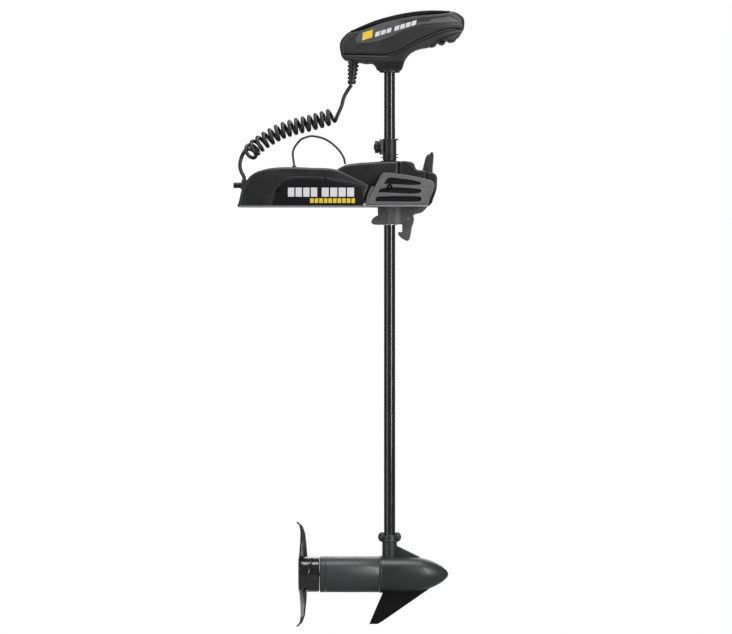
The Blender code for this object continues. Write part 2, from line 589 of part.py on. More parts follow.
def make_head():
    half = HEAD_HALF_WIDTH
    room = half - 3 * MM
    strip_low = [(x, z - STRIP_DEEP) for x, z in [(-78, 446)] + HEAD_CROWN]
    crown_low = [(x, z - GAP / MM) for x, z in strip_low]
    upper_edge = ([(-121.5, 378.5)] + HEAD_BACK + crown_low
                  + [(130, 479.2), (130, 488.3)] + HEAD_FRONT + HEAD_LIP[::-1])
    upper = add("head_upper_shell", slab(beside_shaft(upper_edge), -half, half), "head_grey", LIFT)
    soften(upper, 12 * MM, 3, 75)
    hollow = ([(-118, 370), (-120, 398), (-118, 409), (-106, 424), (-82, 431)]
              + [(x, z - STRIP_DEEP - 6) for x, z in HEAD_CROWN]
              + [(160, 474), (176, 462), (178, 448), (160, 445), (131, 440), (80, 420),
                 (42, 400), (14, 383), (14, 370)])
    cut(upper, "cutter_upper_room", slab(beside_shaft(hollow), -room, room), LIFT)
    strip_edge = [(-78, 446.5)] + HEAD_CROWN + strip_low[:0:-1] + [(-76, 438.5)]
    strip = add("head_top_strip", slab(beside_shaft(strip_edge), -half, half), "gloss_black", LIFT)
    soften(strip, 3 * MM, 2, 60)
    lip = [(x, z) for x, z in lip_below(GAP / MM) if x < GRIP_BACK]
    lower_edge = HEAD_BELLY + [(GRIP_BACK - 0.4, 402)] + lip[::-1]
    lower = add("head_lower_shell", slab(beside_shaft(lower_edge), -half, half), "head_grey", LIFT)
    soften(lower, 9 * MM, 3, 75)
    low = (SHAFT_X - 112 * MM, -room, 366 * MM)
    high = (SHAFT_X + 34 * MM, room, 420 * MM)
    cut(lower, "cutter_lower_room", block(low, high), LIFT)
    bore = rod(SHAFT_R + GAP, 300 * MM, SHAFT_TOP + 1 * MM, "Z", (SHAFT_X, 0, 0))
    cut(lower, "cutter_head_bore", bore, LIFT)
    for name, side in SIDES:
        waist = either_side(side, 30 * MM, half + 20 * MM)
        low_corner = (SHAFT_X - 60 * MM, waist[0], 320 * MM)
        high_corner = (SHAFT_X + 60 * MM, waist[1], 357 * MM)
        cut(lower, "cutter_head_neck_" + name, block(low_corner, high_corner), LIFT)
    grip_top = [(x, z) for x, z in lip_below(GAP / MM) if x > GRIP_BACK]
    grip_edge = GRIP_EDGE + grip_top[::-1] + [(GRIP_BACK, 402.2)]
    grip = add("head_grip", slab(beside_shaft(grip_edge), -half + 6 * MM, half - 6 * MM),
               "panel_black", LIFT)
    soften(grip, 4 * MM, 2, 70)
    low = (SHAFT_X - 100 * MM, -44 * MM, 386 * MM)
    high = (SHAFT_X + 4 * MM, 44 * MM, 388 * MM)
    add("head_board", block(low, high), "board_green", LIFT)
    relief_x, _, relief_z = LEAD_START
    inner = CORD_R + 0.4 * MM
    relief = [(inner, relief_z + 1 * MM), (10 * MM, relief_z + 1 * MM)]
    for index in range(5):
        base = relief_z + (4 + 9.5 * index) * MM
        grown = (10.5 + 0.9 * index) * MM
        relief += [(grown, base), (grown + 0.4 * MM, base + 6 * MM), (grown - 1.8 * MM, base + 7 * MM),
                   (grown - 1.8 * MM, base + 8.6 * MM)]
    relief += [(14 * MM, 356 * MM), (14 * MM, 363.7 * MM), (inner, 363.7 * MM)]
    point = (relief_x, 0, 0)
    add("strain_relief", turned(relief, "Z", point, 14, True), "rubber", LIFT)
    cut(lower, "cutter_relief", rod(14.4 * MM, 330 * MM, 364 * MM, "Z", point), LIFT)


def make_shaft_and_collar():
    point = (SHAFT_X, 0, 0)
    tube = ring(SHAFT_R - SHAFT_WALL, SHAFT_R, NECK_TOP + GAP, SHAFT_TOP, "Z", point)
    add("shaft_tube", tube, "gloss_black", LIFT)
    inner = SHAFT_R + RUN
    low = COLLAR_LOW
    top = COLLAR_LOW + COLLAR_TALL
    waist = COLLAR_R - 5 * MM
    profile = [(inner, low), (waist, low), (waist, low + 7 * MM), (COLLAR_R, low + 7 * MM),
               (COLLAR_R, low + 9 * MM), (waist, low + 9 * MM), (waist, low + 14 * MM),
               (COLLAR_R, low + 14 * MM), (COLLAR_R, low + 16 * MM), (waist, low + 16 * MM),
               (waist, top - 3 * MM), (COLLAR_R, top - 3 * MM), (COLLAR_R, top), (inner, top)]
    collar = add("depth_collar", turned(profile, "Z", point, 32, True), "cover_black", COLLAR)
    knob_point = (SHAFT_X, 0, low + 34 * MM)
    stud_r = 3 * MM
    low_corner = (SHAFT_X - COLLAR_R - 9 * MM, -COLLAR_R - 3 * MM, low + 12 * MM)
    high_corner = (SHAFT_X - SHAFT_R - 4.5 * MM, COLLAR_R + 3 * MM, top + 3 * MM)
    cut(collar, "cutter_collar_flat", block(low_corner, high_corner), COLLAR)
    cut(collar, "cutter_collar_thread",
        rod(stud_r + RUN, -40 * MM, 0, "X", knob_point, 16), COLLAR)
    seat = -(SHAFT_R + 5 * MM)
    disc = seat - 6 * MM
    end = seat - 20.5 * MM
    grip_r = KNOB_R - 4 * MM
    profile = [(0, end), (7 * MM, end), (8 * MM, end + 2.5 * MM), (grip_r, end + 2.5 * MM),
               (grip_r, disc - 2 * MM), (grip_r - 4 * MM, disc - 1 * MM), (KNOB_R, disc),
               (KNOB_R, seat), (stud_r, seat), (stud_r, seat + 4 * MM), (0, seat + 4 * MM)]
    add("collar_knob", turned(profile, "X", knob_point, 20), "cover_black", KNOB)


def make_lower_unit():
    centre = (SHAFT_X, 0, MOTOR_Z)
    axis = (SHAFT_X, 0, 0)
    rear = MOTOR_REAR - SHAFT_X
    cap_end = rear + CAP_LONG
    front = MOTOR_FRONT - SHAFT_X
    inner = MOTOR_R - MOTOR_WALL
    can = ring(inner, MOTOR_R, cap_end + GAP, front - 3 * MM - GAP, "X", centre, 32)
    add("motor_can", can, "motor_paint", LIFT)
    bearing_r = 11 * MM
    seat = bearing_r + GAP
    cap = [(AXLE_R + GAP, rear), (MOTOR_R - 4 * MM, rear), (MOTOR_R, rear + 4 * MM),
           (MOTOR_R, cap_end), (seat, cap_end), (seat, rear + 4 * MM), (AXLE_R + GAP, rear + 4 * MM)]
    add("rear_end_cap", turned(cap, "X", centre, 32, True), "motor_paint", LIFT)
    bearing = ring(AXLE_R + RUN, bearing_r, rear + 4 * MM + GAP, rear + 12 * MM, "X", centre, 24)
    add("rear_bearing", bearing, "steel", LIFT)
    nose = [(0, front + 14 * MM), (seat, front + 14 * MM), (seat, front - 3 * MM),
            (MOTOR_R + 4 * MM, front - 3 * MM), (MOTOR_R + 4 * MM, front + 2 * MM),
            (MOTOR_R + 1.5 * MM, front + 3 * MM)]
    shape = [(0.25, 1.0), (0.42, 0.97), (0.53, 0.925), (0.66, 0.83), (0.77, 0.70),
             (0.86, 0.53), (0.93, 0.36), (0.975, 0.19)]
    belly = [(MOTOR_R * (1.02 * share), front + NOSE_LONG * along) for along, share in shape]
    nose += belly + [(0, front + NOSE_LONG)]
    housing = add("nose_housing", turned(nose, "X", centre, 32), "motor_paint", LIFT)
    neck_low = MOTOR_Z + MOTOR_R * 0.6
    web_top = (NECK_TOP - 8 * MM) / MM
    spigot = SHAFT_R - SHAFT_WALL - GAP
    neck = [(0, neck_low), (NECK_R, neck_low), (NECK_R, NECK_TOP), (spigot, NECK_TOP),
            (spigot, NECK_TOP + 18 * MM), (0, NECK_TOP + 18 * MM)]
    join(housing, "joined_neck", turned(neck, "Z", axis, 32), LIFT)
    web = beside_shaft([(8, web_top), (19, web_top), (73, web_top - 26), (86, web_top - 39),
                        (8, web_top - 44)])
    join(housing, "joined_web", slab(web, -3.5 * MM, 3.5 * MM), LIFT)
    wires = rod(6 * MM, MOTOR_Z + 10 * MM, NECK_TOP + 40 * MM, "Z", axis, 20)
    cut(housing, "cutter_wire_way", wires, LIFT)
    bearing = ring(AXLE_R + RUN, bearing_r, front, front + 10 * MM, "X", centre, 24)
    add("front_bearing", bearing, "steel", LIFT)
    under = [(x, MOTOR_Z - r - 0.4 * MM)
             for r, x in [(MOTOR_R + 1.5 * MM, front + 5 * MM)] + belly[:4]]
    edge = [(x / MM, z / MM) for x, z in under]
    skeg_front = belly[4][1] / MM + 1
    edge.append((skeg_front, (MOTOR_Z - belly[4][0]) / MM - 2.5))
    heel = MOTOR_Z / MM - SKEG_DEEP / MM
    edge += [(-17, heel + 8), (-30, heel), (-51, heel)]
    skeg = add("skeg", slab(beside_shaft(edge), -3 * MM, 3 * MM), "cover_black", LIFT)
    soften(skeg, 1 * MM, 1, 50)
    for name, middle in (("upper", 0), ("lower", 180)):
        magnet = ring(inner - MAGNET_THICK, inner - GAP, cap_end + 22 * MM, front - 18 * MM, "X",
                      (0, 0, 0), 12, 130)
        turn = Matrix.Translation(centre) @ Matrix.Rotation(math.radians(middle), 4, "X")
        bmesh.ops.transform(magnet, matrix=turn, verts=magnet.verts)
        add("magnet_" + name, magnet, "magnet", LIFT)
    brushes = ring(14 * MM, inner - GAP, cap_end + 4 * MM, cap_end + 8 * MM, "X", centre, 32)
    add("brush_plate", brushes, "nylon", LIFT)


def make_clamp():
    point = (SHAFT_X, 0, 0)
    low = NECK_TOP + GAP
    top = NECK_TOP + CLAMP_TALL
    body = ring(SHAFT_R + GAP, CLAMP_R - 4 * MM, low, top - 3 * MM, "Z", point)
    clamp = add("clamp_ring", body, "motor_paint", LIFT)
    for index, side in enumerate((-1, 1)):
        lug_point = (SHAFT_X + side * (CLAMP_R - 4 * MM), 0, 0)
        lug = rod(7 * MM, low + 2 * MM, top - 4 * MM, "Z", lug_point, 20)
        join(clamp, f"joined_lug_{index + 1}", lug, LIFT)
    clear = rod(SHAFT_R + GAP, low - 5 * MM, top + 5 * MM, "Z", point)
    cut(clamp, "cutter_clamp_bore", clear, LIFT)
    for index, side in enumerate((-1, 1)):
        lug_point = (SHAFT_X + side * (CLAMP_R - 2.5 * MM), 0, 0)
        hole = rod(2.8 * MM, low - 5 * MM, top + 5 * MM, "Z", lug_point, 16)
        cut(clamp, f"cutter_clamp_hole_{index + 1}", hole, LIFT)
        profile = [(0, low + 4 * MM), (2.5 * MM, low + 4 * MM), (2.5 * MM, top - 3 * MM + GAP),
                   (4.5 * MM, top - 3 * MM + GAP), (4.5 * MM, top + 1.5 * MM), (0, top + 1.5 * MM)]
        add(f"clamp_bolt_{index + 1}", turned(profile, "Z", lug_point, 18), "steel", LIFT)


def blade(side):
    """One blade, lofted through lens-shaped sections from the hub to the tip."""
    stations = [(0.29, 0.35, -29, 26, 7.0, 0.00), (0.45, 0.47, -28, 15, 5.4, 0.02),
                (0.64, 0.50, -29, 10, 4.4, 0.05), (0.82, 0.42, -33, 9, 3.6, 0.10),
                (0.94, 0.30, -39, 8, 3.0, 0.16), (1.00, 0.17, -46, 8, 2.2, 0.22)]
    bm = bmesh.new()
    rings = []
    for share, chord, along, pitch, thick, sweep in stations:
        lens = [(-1, -0.2), (-0.5, -0.85), (0, -1), (0.5, -0.85), (1, -0.2),
                (1, 0.2), (0.5, 0.85), (0, 1), (-0.5, 0.85), (-1, 0.2)]
        a = math.radians(pitch)
        made = []
        for s, t in lens:
            u = s * chord * PROP_R / 2
            v = t * thick * MM / 2
            x = MOTOR_REAR + along * MM + u * math.sin(a) + v * math.cos(a)
            y = side * (u * math.cos(a) - v * math.sin(a) + sweep * PROP_R)
            z = MOTOR_Z + side * math.sqrt(max(0, (share * PROP_R) ** 2 - (y / side) ** 2))
            made.append(bm.verts.new((x, y, z)))
        rings.append(made)
    for low, high in zip(rings, rings[1:]):
        for i in range(len(low)):
            k = (i + 1) % len(low)
            bm.faces.new((low[i], low[k], high[k], high[i]))
    bm.faces.new(rings[0])
    bm.faces.new(rings[-1])
    return bm


def make_propeller():
    centre = (SHAFT_X, 0, MOTOR_Z)
    hub_front = MOTOR_REAR - SHAFT_X - 3 * MM
    hub_rear = hub_front - HUB_LONG
    bore = AXLE_R + GAP
    hub = [(bore, hub_front), (HUB_R - 1 * MM, hub_front), (HUB_R, hub_front - 4 * MM),
           (HUB_R, hub_rear + 5 * MM), (HUB_R - 5 * MM, hub_rear), (16 * MM, hub_rear),
           (16 * MM, hub_rear + 14 * MM), (bore, hub_rear + 14 * MM)]
    prop = add("propeller", turned(hub, "X", centre, 28, True), "gloss_black", PROP)
    join(prop, "joined_blade_up", blade(1), PROP)
    join(prop, "joined_blade_down", blade(-1), PROP)
    pin_x = hub_front - 5 * MM
    low = (SHAFT_X + pin_x - 3 * MM, -16 * MM, MOTOR_Z - 2.5 * MM)
    high = (SHAFT_X + hub_front + 9 * MM, 16 * MM, MOTOR_Z + 2.5 * MM)
    cut(prop, "cutter_pin_slot", block(low, high), PROP)
    pin_point = (SHAFT_X + pin_x, 0, MOTOR_Z)
    pin = rod(2 * MM, -15 * MM, 15 * MM, "Y", pin_point, 16)
    add("drive_pin", pin, "steel", PROP)
    hexagon = rod(10 * MM, hub_rear + 5 * MM, hub_rear + 14 * MM - GAP, "X", centre, 6)
    nut = add("prop_nut", hexagon, "steel", PROP, 20)
    cut(nut, "cutter_nut_bore", rod(AXLE_R + GAP, hub_rear, hub_front, "X", centre), PROP)
    rear = MOTOR_REAR - SHAFT_X
    front = MOTOR_FRONT - SHAFT_X
    core_r = MOTOR_R - MOTOR_WALL - MAGNET_THICK - AIR_GAP
    core = [(0, hub_rear + 3 * MM), (AXLE_R, hub_rear + 3 * MM), (AXLE_R, rear + 17 * MM),
            (12 * MM, rear + 17 * MM), (12 * MM, rear + 34 * MM), (AXLE_R, rear + 34 * MM),
            (AXLE_R, rear + 40 * MM), (core_r, rear + 40 * MM), (core_r, front - 22 * MM),
            (AXLE_R, front - 22 * MM), (AXLE_R, front + 12 * MM), (0, front + 12 * MM)]
    armature = add("armature", turned(core, "X", centre, 20), "steel", PROP)
    cut(armature, "cutter_axle_hole", rod(2.3 * MM, -9 * MM, 9 * MM, "Y", pin_point, 16), PROP)


make_head()
make_shaft_and_collar()
make_lower_unit()
make_clamp()
make_propeller()


# The coiled cord hangs from the head to the base, and a short cable arches to the drive.
LEAD_ROUTE = [(48, 0, 305.7), (36, 0, 288), (27.6, -2, 271), (24.4, -6, 256), (21, -11, 244),
              (15.6, -15, 236)]
COIL_ROUTE = [(6, 0, 229), (-24, 0, 219), (-59, 0, 209), (-94, 0, 200.5), (-129, 0, 189),
              (-158, 0, 173.5), (-182, 3, 157.5), (-199, 12, 143.5), (-211, 27, 131)]
TAIL_ROUTE = [(-227.6, 20.4, 127.6), (-231.2, 17.4, 118.6), (-232.4, 14, 109), (-231.4, 10.4, 99),
              (-228.2, 6, 89), (-223.6, 1.8, 80.6), (-221, 0, 74.4)]
ARCH_ROUTE = [(-95, -36, 103.4), (-98, -36, 138), (-82, -36, 164), (-66, -36, 173),
              (-47, -36, 176), (-15, -36, 167), (13, -36, 145), (28, -36, 123), (32, -36, 106)]


def metres(route):
    return [(x * MM, y * MM, z * MM) for x, y, z in route]


tube_along("cord_lead", metres(LEAD_ROUTE), CORD_R, 12 * MM, 2, BASE)
tube_along("cord_coil", metres(COIL_ROUTE), COIL_R, 30 * MM, 3, BASE)
tube_along("cord_tail", metres(TAIL_ROUTE), CORD_R, 10 * MM, 2, BASE)
tube_along("arch_cable", metres(ARCH_ROUTE), ARCH_CABLE_R, 12 * MM, 2, BASE)
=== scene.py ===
# %% [markdown]
# # A bow-mount trolling motor, dressed for the studio
# The frame holds the parts that move and fit. This lesson gives each of them its outer
# shape and its finish: moulded plastics, painted castings, rubber cords and bare metal.
# %% The frame
import json
import math

import bpy
from mathutils import Matrix, Vector


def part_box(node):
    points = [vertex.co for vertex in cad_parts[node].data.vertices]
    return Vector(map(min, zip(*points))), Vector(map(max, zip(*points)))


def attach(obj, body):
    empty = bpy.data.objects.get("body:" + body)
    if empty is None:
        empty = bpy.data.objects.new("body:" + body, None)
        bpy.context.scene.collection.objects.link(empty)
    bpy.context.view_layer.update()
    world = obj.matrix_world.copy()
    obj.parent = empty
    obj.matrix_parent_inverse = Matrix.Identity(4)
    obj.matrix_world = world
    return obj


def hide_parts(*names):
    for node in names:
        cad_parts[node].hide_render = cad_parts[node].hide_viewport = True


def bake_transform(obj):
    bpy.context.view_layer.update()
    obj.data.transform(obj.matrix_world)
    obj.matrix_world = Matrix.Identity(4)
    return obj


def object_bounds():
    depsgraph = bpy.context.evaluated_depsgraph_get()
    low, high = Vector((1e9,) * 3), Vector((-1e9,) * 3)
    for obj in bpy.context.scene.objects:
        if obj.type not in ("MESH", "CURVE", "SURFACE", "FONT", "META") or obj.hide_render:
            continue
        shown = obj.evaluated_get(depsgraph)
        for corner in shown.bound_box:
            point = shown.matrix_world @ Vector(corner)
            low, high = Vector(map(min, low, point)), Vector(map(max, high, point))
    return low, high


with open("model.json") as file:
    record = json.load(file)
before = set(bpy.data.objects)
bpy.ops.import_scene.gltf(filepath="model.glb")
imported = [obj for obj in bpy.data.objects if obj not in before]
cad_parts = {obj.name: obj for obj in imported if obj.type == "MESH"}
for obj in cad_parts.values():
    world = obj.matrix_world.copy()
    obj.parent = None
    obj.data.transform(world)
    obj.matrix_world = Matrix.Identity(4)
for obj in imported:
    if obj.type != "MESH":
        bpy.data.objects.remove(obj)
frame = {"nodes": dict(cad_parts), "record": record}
cad_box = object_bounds()
MM = 0.001
print("parts in the frame:", len(frame["nodes"]))


def clear_selection():
    """Operators act on all that is selected, so nothing is left selected."""
    for piece in bpy.context.selected_objects:
        piece.select_set(False)


clear_selection()

# %% [markdown]
# ## Camera, lights and floor
# A side view of a tall, thin machine is taken from far away with a long lens, so that its
# shaft doesn't lean. One big soft light from the front right leaves the bright streak that
# a round black shaft shows, and a paler one fills the other side.
# %% Camera and studio
VIEW_CENTRE = Vector((84 * MM, 0, -275 * MM))
VIEW_WIDTH = 1.83
CAMERA_FAR = 14.0
camera_data = bpy.data.cameras.new("side_camera")
camera_data.sensor_width = 36
camera_data.lens = camera_data.sensor_width * CAMERA_FAR / VIEW_WIDTH
camera_data.clip_end = 60
camera = bpy.data.objects.new("side_camera", camera_data)
bpy.context.scene.collection.objects.link(camera)
camera.location = VIEW_CENTRE + Vector((0, -CAMERA_FAR, 0))
camera.rotation_euler = (math.radians(90), 0, 0)
bpy.context.scene.camera = camera


def soft_light(name, spot, aim, size, power):
    """A rectangular area light at a spot, turned to face what it lights."""
    lamp = bpy.data.lights.new(name, "AREA")
    lamp.shape = "RECTANGLE"
    lamp.size, lamp.size_y = size
    lamp.energy = power
    holder = bpy.data.objects.new(name, lamp)
    bpy.context.scene.collection.objects.link(holder)
    holder.location = spot
    holder.rotation_euler = (Vector(aim) - Vector(spot)).to_track_quat("-Z", "Y").to_euler()


soft_light("key_light", (2.6, -3.0, 0.9), (0.1, 0, -0.3), (0.5, 3.4), 120)
soft_light("fill_light", (-2.9, -2.4, 0.4), (0, 0, -0.3), (1.0, 3.0), 40)
soft_light("top_light", (0.2, -0.5, 2.8), (0.1, 0, 0), (2.2, 1.6), 90)
soft_light("back_light", (0.4, 3.0, 1.2), (0.1, 0, -0.3), (2.6, 2.0), 50)
soft_light("low_light", (0.3, -1.9, -2.6), (0.1, 0, -0.6), (2.2, 0.5), 16)
world = bpy.data.worlds.new("studio_air")
world.use_nodes = True
world.node_tree.nodes["Background"].inputs["Color"].default_value = (0.93, 0.94, 0.95, 1)
world.node_tree.nodes["Background"].inputs["Strength"].default_value = 0.26
bpy.context.scene.world = world
bpy.context.scene.view_settings.view_transform = "Standard"

FLOOR_Z = cad_box[0].z - 12 * MM
bpy.ops.mesh.primitive_plane_add(size=44, location=(0, 0, FLOOR_Z))
floor = bpy.context.object
floor.name = "studio_floor"
bpy.ops.object.mode_set(mode="EDIT")
bpy.ops.mesh.select_all(action="DESELECT")
bpy.ops.object.mode_set(mode="OBJECT")
for edge in floor.data.edges:
    edge.select = all(floor.data.vertices[v].co.y > 1 for v in edge.vertices)
bpy.ops.object.mode_set(mode="EDIT")
bpy.ops.mesh.select_mode(type="EDGE")
bpy.ops.mesh.extrude_region_move(TRANSFORM_OT_translate={"value": (0, 0, 16)})
bpy.ops.object.mode_set(mode="OBJECT")
bend = floor.modifiers.new("bend", "BEVEL")
bend.width = 5
bend.segments = 16
bpy.ops.object.shade_smooth()
paper = bpy.data.materials.new("studio_paper")
paper.use_nodes = True
paper_nodes, paper_links = paper.node_tree.nodes, paper.node_tree.links
paper_nodes.clear()
ray = paper_nodes.new("ShaderNodeLightPath")
dull = paper_nodes.new("ShaderNodeBsdfDiffuse")
dull.inputs["Color"].default_value = (0.42, 0.42, 0.42, 1)
bright = paper_nodes.new("ShaderNodeEmission")
bright.inputs["Color"].default_value = (1, 1, 1, 1)
bright.inputs["Strength"].default_value = 1.0
either = paper_nodes.new("ShaderNodeMixShader")
paper_out = paper_nodes.new("ShaderNodeOutputMaterial")
paper_links.new(ray.outputs["Is Camera Ray"], either.inputs[0])
paper_links.new(dull.outputs[0], either.inputs[1])
paper_links.new(bright.outputs[0], either.inputs[2])
paper_links.new(either.outputs[0], paper_out.inputs["Surface"])
floor.data.materials.append(paper)
clear_selection()

# %% [markdown]
# ## Finishes
# Moulded plastic and painted castings are never one flat colour: a fine spark-eroded grain
# breaks up the highlight, and handling leaves faint cloudy patches. Both come from noise on
# object coordinates in one shared group, so they stay put on each piece.
# %% Shared grain group
def new_group(name, inputs, outputs):
    """Start an empty node group."""
    group = bpy.data.node_groups.new(name, "ShaderNodeTree")
    for label, kind in inputs:
        group.interface.new_socket(label, in_out="INPUT", socket_type=kind)
    for label, kind in outputs:
        group.interface.new_socket(label, in_out="OUTPUT", socket_type=kind)
    return group, group.nodes.new("NodeGroupInput"), group.nodes.new("NodeGroupOutput")


FLOAT = "NodeSocketFloat"
grain, grain_in, grain_out = new_group(
    "surface_grain",
    [("Place", "NodeSocketVector"), ("Grain Scale", FLOAT), ("Cloud Scale", FLOAT)],
    [("Cloud", FLOAT), ("Height", FLOAT)])
fine = grain.nodes.new("ShaderNodeTexNoise")
fine.inputs["Detail"].default_value = 3
pits = grain.nodes.new("ShaderNodeTexVoronoi")
cloud = grain.nodes.new("ShaderNodeTexNoise")
cloud.inputs["Detail"].default_value = 5
cloud.inputs["Roughness"].default_value = 0.62
for node, scale in ((fine, "Grain Scale"), (pits, "Grain Scale"), (cloud, "Cloud Scale")):
    grain.links.new(grain_in.outputs["Place"], node.inputs["Vector"])
    grain.links.new(grain_in.outputs[scale], node.inputs["Scale"])
both = grain.nodes.new("ShaderNodeMath")
both.operation = "MULTIPLY_ADD"
both.inputs[1].default_value = 0.55
grain.links.new(pits.outputs["Distance"], both.inputs[0])
grain.links.new(fine.outputs["Fac"], both.inputs[2])
spread = grain.nodes.new("ShaderNodeMapRange")
spread.inputs["From Min"].default_value = 0.35
spread.inputs["From Max"].default_value = 0.68
grain.links.new(cloud.outputs["Fac"], spread.inputs["Value"])
grain.links.new(both.outputs[0], grain_out.inputs["Height"])
grain.links.new(spread.outputs["Result"], grain_out.inputs["Cloud"])

# %% [markdown]
# Edge wear is where paint and moulding have been rubbed: the mesh's own pointiness finds the
# ridges, and noise breaks the line so that it doesn't look drawn.
# %% Shared wear group
wear, wear_in, wear_out = new_group(
    "edge_wear", [("Place", "NodeSocketVector"), ("Amount", FLOAT)], [("Mask", FLOAT)])
shape = wear.nodes.new("ShaderNodeNewGeometry")
ridge = wear.nodes.new("ShaderNodeMapRange")
ridge.inputs["From Min"].default_value = 0.505
ridge.inputs["From Max"].default_value = 0.58
wear.links.new(shape.outputs["Pointiness"], ridge.inputs["Value"])
broken = wear.nodes.new("ShaderNodeTexNoise")
broken.inputs["Scale"].default_value = 90
broken.inputs["Detail"].default_value = 6
wear.links.new(wear_in.outputs["Place"], broken.inputs["Vector"])
patchy = wear.nodes.new("ShaderNodeMath")
patchy.operation = "MULTIPLY"
wear.links.new(ridge.outputs["Result"], patchy.inputs[0])
wear.links.new(broken.outputs["Fac"], patchy.inputs[1])
amount = wear.nodes.new("ShaderNodeMath")
amount.operation = "MULTIPLY"
amount.use_clamp = True
wear.links.new(patchy.outputs[0], amount.inputs[0])
wear.links.new(wear_in.outputs["Amount"], amount.inputs[1])
wear.links.new(amount.outputs[0], wear_out.inputs["Mask"])


# %% Finishes from the two groups
def finish(name, dark, light, worn, rough, grain_scale, bump, wear_amount=0.5,
           metallic=0.0, coat=0.0, stretch=(1, 1, 1), cloud_scale=14, shine=0.5):
    """A finish: two tones with clouds between, a rubbed edge tone, and a fine grain."""
    made = bpy.data.materials.new(name)
    made.use_nodes = True
    nodes, links = made.node_tree.nodes, made.node_tree.links
    shader = nodes["Principled BSDF"]
    shader.inputs["Metallic"].default_value = metallic
    shader.inputs["Coat Weight"].default_value = coat
    shader.inputs["Specular IOR Level"].default_value = shine
    shader.inputs["Coat Roughness"].default_value = 0.06
    place = nodes.new("ShaderNodeTexCoord")
    mapping = nodes.new("ShaderNodeMapping")
    mapping.inputs["Scale"].default_value = stretch
    links.new(place.outputs["Object"], mapping.inputs["Vector"])
    texture = nodes.new("ShaderNodeGroup")
    texture.node_tree = grain
    texture.inputs["Grain Scale"].default_value = grain_scale
    texture.inputs["Cloud Scale"].default_value = cloud_scale
    links.new(mapping.outputs["Vector"], texture.inputs["Place"])
    rub = nodes.new("ShaderNodeGroup")
    rub.node_tree = wear
    rub.inputs["Amount"].default_value = wear_amount
    links.new(place.outputs["Object"], rub.inputs["Place"])
    tones = nodes.new("ShaderNodeMix")
    tones.data_type = "RGBA"
    tones.inputs["A"].default_value = (*dark, 1)
    tones.inputs["B"].default_value = (*light, 1)
    links.new(texture.outputs["Cloud"], tones.inputs["Factor"])
    edges = nodes.new("ShaderNodeMix")
    edges.data_type = "RGBA"
    edges.inputs["B"].default_value = (*worn, 1)
    links.new(rub.outputs["Mask"], edges.inputs["Factor"])
    links.new(tones.outputs["Result"], edges.inputs["A"])
    links.new(edges.outputs["Result"], shader.inputs["Base Color"])
    gloss = nodes.new("ShaderNodeMapRange")
    gloss.inputs["To Min"].default_value = rough[0]
    gloss.inputs["To Max"].default_value = rough[1]
    links.new(texture.outputs["Cloud"], gloss.inputs["Value"])
    links.new(gloss.outputs["Result"], shader.inputs["Roughness"])
    relief = nodes.new("ShaderNodeBump")
    relief.inputs["Strength"].default_value = bump
    relief.inputs["Distance"].default_value = 0.0003
    links.new(texture.outputs["Height"], relief.inputs["Height"])
    links.new(relief.outputs["Normal"], shader.inputs["Normal"])
    return made


def grey(value, tint=(1.0, 1.0, 1.02)):
    """A near-neutral colour of one brightness, with a slight tint."""
    return tuple(value * t for t in tint)


FINISHES = {
    "cover_black": finish("moulded_cover_black", grey(0.010), grey(0.016), grey(0.05),
                          (0.36, 0.50), 900, 0.35, coat=0.08, shine=0.35),
    "panel_black": finish("moulded_panel_black", grey(0.003), grey(0.005), grey(0.02),
                          (0.48, 0.62), 1100, 0.5, shine=0.14),
    "plate_grey": finish("moulded_plate_grey", grey(0.088), grey(0.106), grey(0.20),
                         (0.40, 0.54), 1000, 0.4),
    "bracket_grey": finish("powder_coat_grey", grey(0.060), grey(0.078), grey(0.18),
                           (0.42, 0.56), 650, 0.7, 0.8),
    "head_grey": finish("moulded_head_grey", grey(0.015), grey(0.022), grey(0.07),
                        (0.38, 0.52), 1000, 0.4),
    "gloss_black": finish("polished_black", grey(0.006), grey(0.008), grey(0.02),
                          (0.15, 0.22), 300, 0.012, 0.3, coat=0.3),
    "motor_paint": finish("satin_motor_paint", grey(0.015, (0.94, 1.04, 1.06)),
                          grey(0.022, (0.94, 1.04, 1.06)), grey(0.09), (0.34, 0.46), 500, 0.2,
                          0.6, metallic=0.1, coat=0.06),
    "aluminium": finish("extruded_aluminium", grey(0.52), grey(0.64), grey(0.80),
                        (0.28, 0.42), 700, 0.4, 0.5, metallic=1.0, stretch=(0.05, 1, 1)),
    "steel": finish("machined_steel", grey(0.40), grey(0.52), grey(0.68), (0.22, 0.36), 900,
                    0.3, 0.5, metallic=1.0, stretch=(1, 1, 0.1)),
    "rubber": finish("cord_rubber", grey(0.009), grey(0.014), grey(0.03), (0.34, 0.50), 800,
                     0.3),
    "magnet": finish("ferrite", grey(0.05), grey(0.08), grey(0.12), (0.5, 0.7), 400, 0.6),
    "board_green": finish("board_green", (0.01, 0.09, 0.03), (0.02, 0.13, 0.05),
                          (0.1, 0.2, 0.1), (0.35, 0.5), 300, 0.2),
    "nylon": finish("natural_nylon", (0.58, 0.57, 0.52), (0.68, 0.67, 0.62), (0.8, 0.8, 0.75),
                    (0.38, 0.5), 500, 0.3),
}
# Near-black bolt finish with very low shine: partly the black of the bolts, and partly painted shade
# that stands for the dark of their recessed holes.
BOLT_BLACK_AND_HOLE_SHADE = finish("black_bolt_and_painted_hole_shade", grey(0.001), grey(0.002), grey(0.01), (0.6, 0.8), 500,
                    0.3, 0.8, shine=0.06)
STRIPE_WHITE = finish("printed_pale", grey(0.55), grey(0.62), grey(0.62), (0.4, 0.5), 900, 0.15)
STRIPE_YELLOW = finish("printed_yellow", (0.62, 0.42, 0.03), (0.72, 0.50, 0.05),
                       (0.72, 0.50, 0.05), (0.4, 0.5), 900, 0.15)
slot_of = {s["node"]: s["material_slot"] for s in frame["record"]["subparts"]}
for name, node in frame["nodes"].items():
    node.data.materials.clear()
    node.data.materials.append(FINISHES[slot_of[name]])
